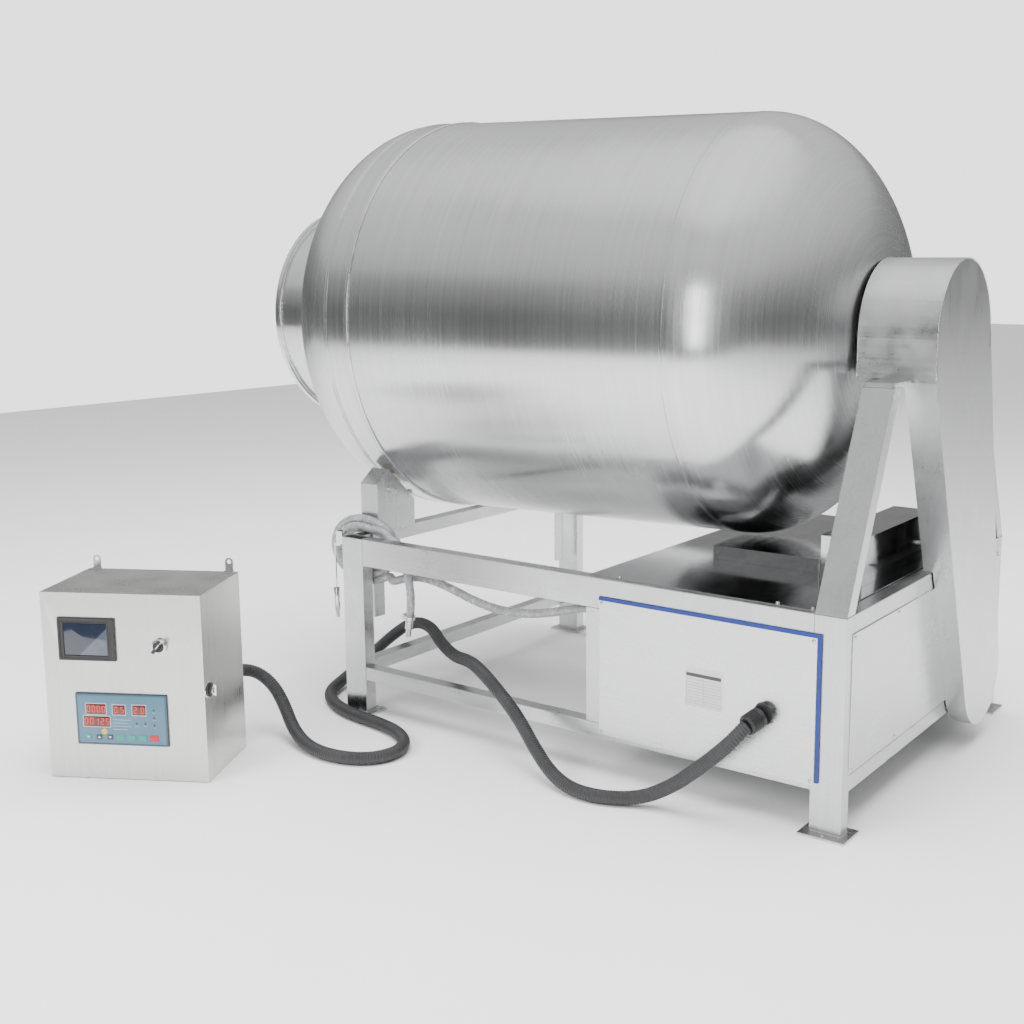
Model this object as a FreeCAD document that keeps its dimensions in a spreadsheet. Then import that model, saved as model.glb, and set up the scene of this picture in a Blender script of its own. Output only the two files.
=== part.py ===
import FreeCAD, Part
import math
import os
import Sketcher

# Vacuum tumbler for meat: a horizontal stainless drum on a welded tube frame,
# carried by a shaft bearing at the drive end (+X) and by two rollers at the
# loading end (-X), driven by a chain from a gearmotor in the frame's housing,
# with a free-standing control box joined to it by one conduit.
# Millimetres. X runs along the drum, +Z is up, -Y is the operator's side.
# The origin is on the floor, at the centre of the frame's footprint.

os.makedirs("parts", exist_ok=True)
doc = FreeCAD.newDocument("vacuum_tumbler")
sheet = doc.addObject("Spreadsheet::Sheet", "Dims")
V = FreeCAD.Vector
Rot = FreeCAD.Rotation

CELLS = [
    ("half_len", 798.0, "frame: half length along X"),
    ("half_wid", 558.0, "frame: half width along Y"),
    ("frame_top", 532.0, "frame: top of the upper rails"),
    ("post_w", 80.0, "tube: wide side"),
    ("post_d", 40.0, "tube: narrow side"),
    ("tube_wall", 2.0, "tube: wall"),
    ("rail_low", 106.0, "lower rails: underside"),
    ("mid_x", 78.0, "housing posts: left side"),
    ("foot_len", 120.0, "foot plate: along X"),
    ("foot_wid", 90.0, "foot plate: along Y"),
    ("foot_thk", 6.0, "foot plate: thickness"),
    ("foot_hole", 5.5, "anchor hole radius"),
    ("foot_hole_y", 570.5, "anchor hole: distance from the middle"),
    ("sheet_thk", 3.0, "housing panels: thickness with fold"),
    ("skin", 2.0, "thin covers: thickness"),
    ("pan_x0", 120.0, "front panel: left edge"),
    ("pan_x1", 728.0, "front panel: right edge"),
    ("pan_z0", 118.0, "front panel: lower edge"),
    ("pan_z1", 476.0, "front panel: upper edge"),
    ("seal_wid", 10.0, "panel seal: strip width"),
    ("seal_thk", 5.0, "panel seal: proud of the frame"),
    ("screw_rad", 5.0, "panel screw: head radius"),
    ("deck_thk", 2.0, "deck plate: thickness"),
    ("axis_up", 1154.0, "drum axis above the floor"),
    ("shell_thk", 4.0, "drum: wall thickness"),
    ("band_rad", 597.0, "running band: outer radius"),
    ("ring_x", -714.0, "running band: inner edge"),
    ("band_x", -808.0, "running band: outer edge"),
    ("shell_r1", 594.0, "drum shell: radius beside the band"),
    ("shell_r2", 568.0, "drum shell: radius at the rear head"),
    ("shell_end", 300.0, "drum shell: end at the rear head"),
    ("rear_dep", 365.0, "rear head: depth"),
    ("front_dep", 345.0, "front head: depth"),
    ("neck_rad", 335.0, "neck: outer radius"),
    ("neck_end", -1270.0, "neck: outer end"),
    ("lip_rad", 345.0, "neck flange: outer radius"),
    ("lip_bore", 300.0, "neck flange: clear opening radius"),
    ("lip_thk", 15.0, "neck flange: thickness"),
    ("shaft_rad", 35.0, "drum shaft: radius"),
    ("run_gap", 0.05, "running clearance, radial"),
    ("pin_gap", 0.05, "pin clearance, radial"),
    ("roller_rad", 44.6, "support roller: radius"),
    ("roller_y", 412.7, "support roller: distance from the middle"),
    ("roller_z", 662.2, "support roller: height"),
    ("axle_rad", 12.0, "support roller axle: radius"),
    ("lean", 24.342, "stand legs: lean from upright, degrees"),
    ("stand_top", 1035.0, "stand legs: top"),
    ("beam_thk", 12.0, "stand beam: thickness"),
    ("arch_y", -20.0, "guard: upper centre, Y"),
    ("arch_z", 1145.0, "guard: upper centre, Z"),
    ("arch_rad", 192.0, "guard: upper radius"),
    ("foot_cy", 250.0, "guard: lower centre, Y"),
    ("foot_cz", 200.0, "guard: lower centre, Z"),
    ("foot_cr", 142.0, "guard: lower radius"),
    ("guard_x0", 801.0, "guard: inner face below the deck"),
    ("guard_xu", 776.0, "guard: inner face above the deck"),
    ("guard_x1", 856.0, "guard: outer face"),
    ("cover_x0", 652.0, "shaft cover: edge towards the drum"),
    ("cover_rad", 194.0, "shaft cover: outer radius"),
    ("chain_x", 820.5, "chain: middle plane"),
    ("pitch", 19.05, "chain: pitch"),
    ("big_teeth", 50.0, "drum sprocket: teeth"),
    ("small_teeth", 19.0, "drive sprocket: teeth"),
    ("out_rad", 20.0, "gearmotor output shaft: radius"),
    ("box_x", -1057.4, "control box: front left corner, X"),
    ("box_y", -1366.8, "control box: front left corner, Y"),
    ("box_yaw", 28.67, "control box: turn about Z, degrees"),
    ("box_w", 424.0, "control box: width"),
    ("box_d", 263.0, "control box: depth"),
    ("box_h", 497.0, "control box: height"),
    ("box_wall", 1.5, "control box: sheet thickness"),
    ("door_dep", 40.0, "control box door: depth of its pan"),
    ("cond_rad", 18.0, "conduit: outer radius"),
    ("hose_rad", 12.5, "vacuum hose: outer radius"),
    ("hose_y", -497.0, "vacuum hose coil: plane"),
    ("coil_x", -771.0, "vacuum hose coil: centre, X"),
    ("coil_z", 488.0, "vacuum hose coil: centre, Z"),
    ("coil_a", 148.0, "vacuum hose coil: outer half width"),
    ("coil_b", 116.0, "vacuum hose coil: outer half height"),
]
VAL = {}
sheet.set("A1", "alias")
sheet.set("B1", "value")
sheet.set("C1", "meaning")
for i, (alias, value, note) in enumerate(CELLS, start=2):
    sheet.set("A%d" % i, alias)
    sheet.set("B%d" % i, str(value))
    sheet.set("C%d" % i, note)
    sheet.setAlias("B%d" % i, alias)
    VAL[alias] = value
doc.recompute()


class E:
    """A number together with the spreadsheet expression that gives it."""

    def __init__(self, val, txt):
        self.val = float(val)
        self.txt = txt

    def __add__(self, o):
        o = lit(o)
        return E(self.val + o.val, "(%s + %s)" % (self.txt, o.txt))

    __radd__ = __add__

    def __sub__(self, o):
        o = lit(o)
        return E(self.val - o.val, "(%s - %s)" % (self.txt, o.txt))

    def __rsub__(self, o):
        return lit(o) - self

    def __mul__(self, o):
        o = lit(o)
        return E(self.val * o.val, "(%s * %s)" % (self.txt, o.txt))

    __rmul__ = __mul__

    def __truediv__(self, o):
        o = lit(o)
        return E(self.val / o.val, "(%s / %s)" % (self.txt, o.txt))

    def __neg__(self):
        return E(-self.val, "(0 - %s)" % self.txt)


def lit(v):
    if isinstance(v, E):
        return v
    return E(float(v), "%.6f" % v if v >= 0 else "(0 - %.6f)" % -v)


def D(alias):
    return E(VAL[alias], "Dims." + alias)


def bind(obj, prop, e):
    """Give a property its value, bound to the sheet where it depends on it."""
    e = lit(e)
    if "Dims." in e.txt:
        obj.setExpression(prop, e.txt)
    return e.val


count = [0]


def raw(kind, name=""):
    count[0] += 1
    return doc.addObject(kind, "%s_%d" % (name or "piece", count[0]))


def place(obj, pos, rot=None):
    rot = rot or Rot()
    vals = [lit(p).val for p in pos]
    obj.Placement = FreeCAD.Placement(V(*vals), rot)
    for ax, p in zip("xyz", pos):
        bind(obj, "Placement.Base." + ax, p)
    return obj


def box(x, y, z, name="box"):
    b = raw("Part::Box", name)
    for prop, (lo, hi) in (("Length", x), ("Width", y), ("Height", z)):
        setattr(b, prop, bind(b, prop, lit(hi) - lit(lo)))
    return place(b, (x[0], y[0], z[0]))


TO_X = Rot(V(0, 1, 0), 90)
TO_Y = Rot(V(1, 0, 0), -90)
TO_Z = Rot()


def cyl(r, length, pos, rot=TO_Z, name="round"):
    c = raw("Part::Cylinder", name)
    c.Radius = bind(c, "Radius", r)
    c.Height = bind(c, "Height", length)
    return place(c, pos, rot)


def cone(r1, r2, length, pos, rot=TO_Z, name="taper"):
    c = raw("Part::Cone", name)
    c.Radius1 = bind(c, "Radius1", r1)
    c.Radius2 = bind(c, "Radius2", r2)
    c.Height = bind(c, "Height", length)
    return place(c, pos, rot)


def fuse(*objs, name="joined"):
    f = raw("Part::MultiFuse", name)
    f.Shapes = list(objs)
    return f


def cut(base, *tools, name="cut"):
    c = raw("Part::Cut", name)
    c.Base = base
    c.Tool = tools[0] if len(tools) == 1 else fuse(*tools)
    return c


def common(a, b, name="kept"):
    c = raw("Part::Common", name)
    c.Base = a
    c.Tool = b
    return c


def group(*objs, name="group"):
    g = raw("Part::Compound", name)
    g.Links = list(objs)
    return g


NODES = []


def node(name, obj, pos=None, rot=None):
    obj.Label = name
    if pos is not None:
        place(obj, pos, rot)
    NODES.append(obj)
    return obj


def rhs(axis, x, y, z, wall=None):
    """Rectangular hollow tube, open along one axis."""
    w = wall or D("tube_wall")
    rng = [x, y, z]
    inner = []
    for i, (lo, hi) in enumerate(rng):
        if i == axis:
            inner.append((lit(lo) - 1, lit(hi) + 1))
        else:
            inner.append((lit(lo) + w, lit(hi) - w))
    return cut(box(x, y, z), box(*inner), name="tube")


def poly_sketch(body, pts, name):
    sk = body.newObject("Sketcher::SketchObject", name)
    plane = [f for f in body.Origin.OriginFeatures if f.Role == "XY_Plane"][0]
    sk.AttachmentSupport = [(plane, "")]
    sk.MapMode = "FlatFace"
    n = len(pts)
    vals = [(lit(a).val, lit(b).val) for a, b in pts]
    for i in range(n):
        a, b = vals[i], vals[(i + 1) % n]
        sk.addGeometry(Part.LineSegment(V(a[0], a[1], 0), V(b[0], b[1], 0)), False)
    for i in range(n):
        sk.addConstraint(Sketcher.Constraint("Coincident", i, 2, (i + 1) % n, 1))
    binds = []
    for i, (a, b) in enumerate(pts):
        for kind, axis_geo, v, tag in (("DistanceX", -2, lit(a), "u"), ("DistanceY", -1, lit(b), "w")):
            if abs(v.val) < 1e-9:
                sk.addConstraint(Sketcher.Constraint("PointOnObject", i, 1, axis_geo))
                continue
            k = sk.addConstraint(Sketcher.Constraint(kind, -1, 1, i, 1, v.val))
            label = "%s%d" % (tag, i)
            sk.renameConstraint(k, label)
            if "Dims." in v.txt:
                binds.append((label, v.txt))
    for label, txt in binds:
        sk.setExpression("Constraints." + label, txt)
    return sk


def pad_body(name, pts, length):
    body = raw("PartDesign::Body", name)
    sk = poly_sketch(body, pts, name + "_outline")
    pad = body.newObject("PartDesign::Pad", name + "_pad")
    pad.Profile = sk
    pad.Type = 0
    pad.Length = bind(pad, "Length", length)
    body.Tip = pad
    return body


def turn_body(name, pts):
    """Solid of revolution about its own X axis from (x, radius) points."""
    body = raw("PartDesign::Body", name)
    sk = poly_sketch(body, pts, name + "_profile")
    rev = body.newObject("PartDesign::Revolution", name + "_turned")
    rev.Profile = sk
    rev.ReferenceAxis = (sk, ["H_Axis"])
    rev.Angle = 360.0
    body.Tip = rev
    return body


YZX = Rot(V(1, 1, 1), 120)      # sketch X -> Y, sketch Y -> Z, pad -> X


def plate_yz(name, pts, x0, length):
    b = pad_body(name, pts, length)
    return place(b, (x0, 0, 0), YZX)


L, W, T = D("half_len"), D("half_wid"), D("frame_top")
PW, PD, RL = D("post_w"), D("post_d"), D("rail_low")
RH = PD                          # lower rails are square tubes
sides = ((-1, "left"), (1, "right"))

# ---------------------------------------------------------------- frame
legs, feet = [], []
for sx in (-1, 1):
    for sy in (-1, 1):
        x = (-L, -L + PW) if sx < 0 else (L - PW, L)
        y = (-W, -W + PD) if sy < 0 else (W - PD, W)
        legs.append(rhs(2, x, y, (D("foot_thk"), T)))
        cx = (L - PW / 2) * sx
        cy = (W - PD / 2) * sy
        plate = box((cx - D("foot_len") / 2, cx + D("foot_len") / 2),
                    (cy - D("foot_wid") / 2, cy + D("foot_wid") / 2), (0, D("foot_thk")))
        hole = cyl(D("foot_hole"), D("foot_thk") + 2, (cx, D("foot_hole_y") * sy, -1))
        feet.append(cut(plate, hole))
node("frame_legs", group(*legs))
node("foot_plates", group(*feet))
rails = []
for sy in (-1, 1):
    y = (-W, -W + PD) if sy < 0 else (W - PD, W)
    rails.append(rhs(0, (-L + PW, L - PW), y, (T - PW, T)))
    rails.append(rhs(0, (-L + PW, L - PW), y, (RL, RL + RH)))
node("long_rails", group(*rails))
yin = (-W + PD, W - PD)
node("end_rails", group(rhs(1, (-L, -L + PD), yin, (T - PD, T)),
                        rhs(1, (-L, -L + PD), yin, (RL, RL + RH)),
                        rhs(1, (L - PD, L), yin, (T - PW, T)),
                        rhs(1, (L - PD, L), yin, (RL, RL + RH))))
MX = D("mid_x")
mids = []
for sy in (-1, 1):
    y = (-W, -W + PD) if sy < 0 else (W - PD, W)
    mids.append(rhs(2, (MX, MX + PD), y, (RL + RH, T - PW)))
mids.append(rhs(1, (MX, MX + PD), yin, (T - PD, T)))
mids.append(rhs(1, (MX, MX + PD), yin, (RL, RL + RH)))
node("housing_posts", group(*mids))

# ---------------------------------------------------------------- housing
ST = D("sheet_thk")
PX0, PX1, PZ0, PZ1 = D("pan_x0"), D("pan_x1"), D("pan_z0"), D("pan_z1")
panel = box((PX0, PX1), (-W - ST, -W), (PZ0, PZ1))
node("front_panel", cut(panel, cyl(19.0, ST + 4, (600.0, -W - ST - 2, 272.0), TO_Y)))
gw, gt = D("seal_wid"), D("seal_thk")
node("panel_seal", fuse(box((PX0, PX1 + 2 + gw), (-W - gt, -W), (PZ1, PZ1 + gw)),
                        box((PX1 + 2, PX1 + 2 + gw), (-W - gt, -W), (PZ0 + 9, PZ1 + gw / 2))))
left = cut(box((MX - 2, MX), yin, (RL + RH, T - PD)), cyl(10.0, 6, (MX - 4, -490.0, 430.0), TO_X))
side = box((L, L + ST), (-525.0, 525.0), (150.0, 488.0))
node("side_panels", group(cut(side, cyl(32.0, ST + 4, (L - 2, D("foot_cy"), D("foot_cz")), TO_X)),
                          box((PX0, PX1), (W, W + ST), (PZ0, PZ1)), left))
node("floor_pan", group(box((MX + PD, L - PW - 2), (-W + 18, W - 18), (RL + RH, RL + RH + ST))))
deck = fuse(box((MX - 3, L - PW - 2), (-540.0, 540.0), (T, T + D("deck_thk"))),
            box((L - PW - 3, L - PD - 2), (-512.0, 512.0), (T, T + D("deck_thk"))))
node("deck_plate", deck)
DZ = T + D("deck_thk")


def hollow_cover(x, y, z, t):
    return cut(box(x, y, z),
               box((lit(x[0]) + t, lit(x[1]) - t), (lit(y[0]) + t, lit(y[1]) - t), (lit(z[0]) - 1, lit(z[1]) - t)))


node("deck_covers", group(hollow_cover((250.0, 565.0), (-205.0, 205.0), (DZ, DZ + 38), D("skin")),
                          hollow_cover((600.0, 712.0), (-280.0, 200.0), (DZ, DZ + 121), D("skin"))))

screws = []
sr = D("screw_rad")
for sx, sz in ((129.0, 469.0), (719.0, 467.0), (129.0, 126.0), (719.0, 128.0)):
    screws.append(cyl(sr, 3, (sx, -W - ST - 3, sz), TO_Y))
    screws.append(cyl(sr, 3, (sx, W + ST, sz), TO_Y))
for sy, sz in ((-517.0, 479.0), (-517.0, 160.0), (-250.0, 160.0), (-250.0, 479.0), (515.0, 479.0), (515.0, 160.0)):
    screws.append(cyl(sr, 3, (L + ST, sy, sz), TO_X))
for sx in (163.0, 609.0, 700.0):
    for sy in (-530.0, 530.0):
        screws.append(cyl(sr, 5, (sx, sy, DZ), TO_Z))
node("panel_screws", group(*screws))
node("rating_plate", box((377.0, 483.0), (-W - ST - 0.8, -W - ST), (247.0, 347.0)))

# ---------------------------------------------------------------- drive stand
tan_l = math.tan(math.radians(VAL["lean"]))
cos_l = math.cos(math.radians(VAL["lean"]))
stand_legs = []
for sy in (-1, 1):
    length = 620.0
    outer = raw("Part::Box", "leg")
    inner = raw("Part::Box", "bore")
    for b, k in ((outer, 0.0), (inner, 1.0)):
        b.Length = bind(b, "Length", PW - D("tube_wall") * (2 * k))
        b.Width = bind(b, "Width", PD - D("tube_wall") * (2 * k))
        b.Height = length + 2 * k
    # the leg leans about X, its outer face passes through the frame's top corner
    ang = -VAL["lean"] if sy < 0 else VAL["lean"]
    rot = Rot(V(1, 0, 0), ang)
    for b, k in ((outer, 0.0), (inner, 1.0)):
        w = VAL["tube_wall"] * k
        y_loc = w if sy < 0 else -VAL["post_d"] + w
        off = rot.multVec(V(0, y_loc, -30.0 - k))
        place(b, (L - PW + D("tube_wall") * k, lit(W * sy) + off.y, T + off.z), rot)
        b.setExpression("Placement.Rotation.Angle", "Dims.lean")
        b.Placement.Rotation.Axis = V(-1, 0, 0) if sy < 0 else V(1, 0, 0)
    tube = cut(outer, inner)
    slab = box((L - PW - 5, L + 5), (-700.0, 700.0), (T, D("stand_top")))
    stand_legs.append(common(tube, slab))
node("drive_stand", group(*(stand_legs + [cut(box((L - PW, L), (-330.0, 330.0), (D("stand_top"), D("stand_top") + D("beam_thk"))),
                       box((D("guard_xu") - 2, L + 5), (-224.0, 212.0), (D("stand_top") - 5, D("stand_top") + 20)))])))
AZ = D("axis_up")
bz = D("stand_top") + D("beam_thk")
housing = fuse(box((722.0, 772.0), (-120.0, 120.0), (bz, bz + 26)),
               cyl(88.0, 50, (722.0, 0, AZ), TO_X),
               box((728.0, 766.0), (-78.0, 78.0), (bz, AZ)))
node("shaft_bearing", cut(housing, cyl(D("shaft_rad") + D("run_gap"), 60, (717.0, 0, AZ), TO_X)))

# ---------------------------------------------------------------- guard and cover
AY, ARZ, AR = D("arch_y"), D("arch_z"), D("arch_rad")
FY, FZ, FR = D("foot_cy"), D("foot_cz"), D("foot_cr")
# unit normals of the two straight sides, from the two circles' common tangents
NB = (0.97426, 0.22546)          # rear side
NF = (-0.93796, -0.34675)        # front side, below its bend


def outline(t):
    """Corners (y, z) of the straight-sided middle of the guard, inset by t."""
    return [(AY - AR + t, ARZ), (AY - AR + t, 1040.0 + 0.179 * lit(t)),
            (FY + (FR - t) * NF[0], FZ + (FR - t) * NF[1]),
            (FY + (FR - t) * NB[0], FZ + (FR - t) * NB[1]),
            (AY + (AR - t) * NB[0], ARZ + (AR - t) * NB[1])]


def guard_solid(x0, length, t, name):
    mid = plate_yz(name, outline(t), x0, length)
    return fuse(mid, cyl(AR - t, length, (x0, AY, ARZ), TO_X), cyl(FR - t, length, (x0, FY, FZ), TO_X))


GX0, GXU, GX1, SK = D("guard_x0"), D("guard_xu"), D("guard_x1"), D("skin")
low = cut(guard_solid(GX0, GX1 - GX0, lit(0), "guard_outer"),
          guard_solid(GX0 - 1, GX1 - GX0 - SK + 1, SK, "guard_inner"))
up = common(cut(guard_solid(GXU, GX0 - GXU + 0.5, lit(0), "guard_outer_up"),
                guard_solid(GXU - 1, GX0 - GXU + 3, SK, "guard_inner_up")),
            box((GXU - 5, GX0 + 5), (-400.0, 500.0), (T + 4, 1400.0)))
node("chain_guard", fuse(low, up))

CX0, CR = D("cover_x0"), D("cover_rad")
clen = GX1 - SK - CX0
dout = fuse(cyl(CR, clen, (CX0, AY, ARZ), TO_X),
            box((CX0, CX0 + clen), (AY - CR, AY + CR), (bz, ARZ)))
ci = AR + 0.3
din = fuse(cyl(ci, clen + 4, (CX0 - 2, AY, ARZ), TO_X),
           box((CX0 - 2, CX0 + clen + 2), (AY - ci, AY + ci), (bz - 2, ARZ)))
clear = guard_solid(GXU - 0.5, GX1 - GXU + 2, lit(-0.3), "guard_clear")
roof = box((CX0 - 5, GX1 + 5), (-260.0, 220.0), (bz, 1400.0))
node("shaft_cover", cut(common(cut(dout, din), roof), clear))

# ---------------------------------------------------------------- roller stations
BRX0, BRX1 = -798.0, -730.0


def bracket(sy, tag):
    pts = [(-476.0, 532.0), (-476.0, 680.0), (-425.0, 720.0), (-317.0, 617.0), (-317.0, 532.0)]
    ins = [(-472.0, 531.0), (-472.0, 678.0), (-424.0, 714.9), (-421.0, 730.0), (-300.0, 730.0), (-300.0, 531.0)]
    if sy > 0:
        pts = [(-a, b) for a, b in pts][::-1]
        ins = [(-a, b) for a, b in ins][::-1]
    outer = plate_yz("bracket_" + tag, pts, BRX0, BRX1 - BRX0)
    inner = plate_yz("bracket_void_" + tag, ins, BRX0 + 5, BRX1 - BRX0 - 10)
    pins = cyl(D("axle_rad") + D("pin_gap"), 90, (BRX0 - 5, D("roller_y") * sy, D("roller_z")), TO_X)
    return cut(outer, inner, pins)


brackets = [bracket(-1, "front"), bracket(1, "rear")]
RYV, RZV = D("roller_y"), D("roller_z")
axles, stays = [], []
for sy in (-1, 1):
    axles.append(fuse(cyl(D("axle_rad"), 72, (-798.0, RYV * sy, RZV), TO_X),
                      cyl(17.0, 7, (-730.0, RYV * sy, RZV), TO_X),
                      cyl(17.0, 4, (-802.0, RYV * sy, RZV), TO_X)))
    axles.append(cyl(9.0, 8, (-730.0, 343.0 * sy, 640.0), TO_X))
    ys = (-478.0, -436.0) if sy < 0 else (436.0, 478.0)
    stays.append(box((-758.0, -750.0), ys, (275.0, T)))
node("roller_axles", group(*axles))
node("roller_brackets", group(*(brackets + stays)))
for sy, tag in ((-1, "front"), (1, "rear")):
    node("support_roller_" + tag,
         cut(cyl(D("roller_rad"), 52, (-790.0, RYV * sy, RZV), TO_X),
             cyl(D("axle_rad") + D("pin_gap"), 60, (-794.0, RYV * sy, RZV), TO_X)))

# ---------------------------------------------------------------- drum
TH = D("shell_thk")
RX, BX, SE = D("ring_x"), D("band_x"), D("shell_end")
R1, R2, RB = D("shell_r1"), D("shell_r2"), D("band_rad")


def drum_part(name, body):
    return node(name, body, (0, 0, AZ), Rot())


drum_part("drum_shell", turn_body("drum_shell_body", [(RX, R1 - TH), (SE, R2 - TH), (SE, R2), (RX, R1)]))
drum_part("running_band", turn_body("running_band_body", [(BX, RB - 8), (RX, RB - 8), (RX, RB), (BX, RB)]))


def dish(cx, depth, rad):
    e = raw("Part::Ellipsoid", "dish")
    e.Radius1 = bind(e, "Radius1", depth)
    e.Radius2 = bind(e, "Radius2", rad)
    e.Radius3 = 0.0
    e.Angle1 = -90.0
    e.Angle2 = 90.0
    e.Angle3 = 360.0
    return place(e, (cx, 0, 0), TO_X)


rd, fd = D("rear_dep"), D("front_dep")
rear = common(cut(dish(SE, rd, R2), dish(SE, rd - TH, R2 - TH)),
              box((SE, SE + 500), (-700.0, 700.0), (-700.0, 700.0)))
drum_part("drum_head_rear", rear)
NR, NE = D("neck_rad"), D("neck_end")
front = cut(common(cut(dish(BX, fd, RB), dish(BX, fd - TH, RB - TH)),
                   box((BX - 400, BX), (-700.0, 700.0), (-700.0, 700.0))),
            cyl(NR, 600, (BX - 500, 0, 0), TO_X))
drum_part("drum_head_front", front)
LT = D("lip_thk")
drum_part("drum_neck", group(cut(cyl(NR, 190, (NE, 0, 0), TO_X), cyl(NR - TH, 200, (NE - 5, 0, 0), TO_X)),
                             cut(cyl(D("lip_rad"), LT, (NE - LT, 0, 0), TO_X),
                                 cyl(D("lip_bore"), LT + 4, (NE - LT - 2, 0, 0), TO_X))))
paddles = []
slope = (VAL["shell_r1"] - VAL["shell_r2"]) / (VAL["shell_end"] - VAL["ring_x"])
for k in range(3):
    a = 90.0 + 120.0 * k
    pts = [(-690.0, 470.0), (250.0, 470.0), (250.0, R1 - TH - 0.2 - slope * 964), (-690.0, R1 - TH - 0.2 - slope * 24)]
    p = pad_body("paddle_%d" % k, pts, 6.0)
    rot = Rot(V(1, 0, 0), a)
    off = rot.multVec(V(0, 0, -3.0))
    place(p, (off.x, off.y, off.z), rot)
    paddles.append(p)
drum_part("drum_baffles", group(*paddles))
hub_x = SE + rd
SR = D("shaft_rad")
shaft_body = fuse(cyl(SR, 176, (hub_x, 0, 0), TO_X), cyl(60.0, 18, (hub_x, 0, 0), TO_X))

# ---------------------------------------------------------------- chain drive
CXM, PIT = D("chain_x"), D("pitch")


def sprocket(teeth, bore, hub_r, hub_from, cy, cz):
    """Toothed disc in the chain plane with a hub on its -X side."""
    n = int(teeth)
    p = sheet.get("pitch")
    rp = p / (2 * math.sin(math.pi / n))
    rr, rt = rp - 6.0, rp + 5.0
    pts = []
    for k in range(n):
        for f, r in ((-0.30, rr), (-0.13, rt), (0.13, rt), (0.30, rr)):
            a = 2 * math.pi * (k + f) / n
            pts.append(V(0, r * math.cos(a), r * math.sin(a)))
    face = Part.Face(Part.makePolygon(pts + [pts[0]]))
    disc = face.extrude(V(11.0, 0, 0))
    disc.translate(V(VAL["chain_x"] - 5.5, 0, 0))
    hub = Part.makeCylinder(hub_r, VAL["chain_x"] - 5.5 - hub_from, V(hub_from, 0, 0), V(1, 0, 0))
    hole = Part.makeCylinder(bore, 80.0, V(VAL["chain_x"] - 60, 0, 0), V(1, 0, 0))
    return disc.fuse(hub).cut(hole).removeSplitter()


def feature(name, shape, pos=(0, 0, 0), rot=None):
    f = raw("Part::Feature", name)
    f.Shape = shape
    return node(name, f, pos, rot)


big = raw("Part::Feature", "big_wheel")
big.Shape = sprocket(sheet.get("big_teeth"), sheet.get("shaft_rad"), 62.0, 778.0, 0, 0)
drum_part("drum_shaft", group(shaft_body, big))
small = raw("Part::Feature", "small_wheel")
small.Shape = sprocket(sheet.get("small_teeth"), sheet.get("out_rad"), 34.0, 803.0, 0, 0)
node("drive_sprocket", group(small, cyl(D("out_rad"), 188, (645.0, 0, 0), TO_X)), (0, FY, FZ), Rot())


def loop_face(off, x):
    """Closed band outline round both sprockets at a distance from the pitch line."""
    p = sheet.get("pitch")
    r1 = p / (2 * math.sin(math.pi / sheet.get("big_teeth"))) + off
    r2 = p / (2 * math.sin(math.pi / sheet.get("small_teeth"))) + off
    c1, c2 = V(x, 0, VAL["axis_up"]), V(x, VAL["foot_cy"], VAL["foot_cz"])
    d = c2 - c1
    base = math.atan2(d.z, d.y)
    a = math.acos((r1 - r2) / d.Length)
    u = lambda c, r, t: c + V(0, r * math.cos(t), r * math.sin(t))
    p1, p2 = u(c1, r1, base + a), u(c1, r1, base - a)
    q1, q2 = u(c2, r2, base + a), u(c2, r2, base - a)
    w = Part.Wire([Part.LineSegment(p1, q1).toShape(), Part.Arc(q1, u(c2, r2, base), q2).toShape(),
                   Part.LineSegment(q2, p2).toShape(), Part.Arc(p2, u(c1, r1, base + math.pi), p1).toShape()])
    return Part.Face(w)


def chain_shape():
    cx = sheet.get("chain_x")
    parts = []
    for x0 in (cx - 10.5, cx + 7.5):
        parts.append(loop_face(7.0, x0).extrude(V(3, 0, 0)).cut(loop_face(-7.0, x0 - 1).extrude(V(5, 0, 0))))
    mid = loop_face(3.0, cx - 8).extrude(V(16, 0, 0)).cut(loop_face(-3.0, cx - 9).extrude(V(18, 0, 0)))
    keep = Part.makeBox(40, 900, 590, V(cx - 20, -300, 330))
    rollers = mid.common(keep)
    out = parts[0].fuse([parts[1], rollers])
    return out


feature("drive_chain", chain_shape())

gb = cut(fuse(box((600.0, 730.0), (FY - 80, FY + 80), (RL + RH + ST, 330.0)),
              cyl(46.0, 26, (730.0, FY, FZ), TO_X)),
         cyl(D("out_rad") + D("run_gap"), 200, (640.0, FY, FZ), TO_X))
node("gearmotor", group(gb, fuse(cyl(72.0, 230, (350.0, FY, 250.0), TO_X),
                         cyl(80.0, 20, (580.0, FY, 250.0), TO_X),
                         box((420.0, 520.0), (FY - 130, FY - 60), (220.0, 300.0)),
                         box((380.0, 540.0), (FY - 60, FY + 60), (RL + RH + ST, 200.0)))))
node("vacuum_pump", fuse(box((180.0, 330.0), (-380.0, -200.0), (RL + RH + ST, 330.0)),
                         cyl(75.0, 180, (330.0, -290.0, 240.0), TO_X),
                         box((345.0, 480.0), (-345.0, -235.0), (RL + RH + ST, 190.0)),
                         cyl(38.0, 60, (225.0, -290.0, 330.0), TO_Z)))

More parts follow.
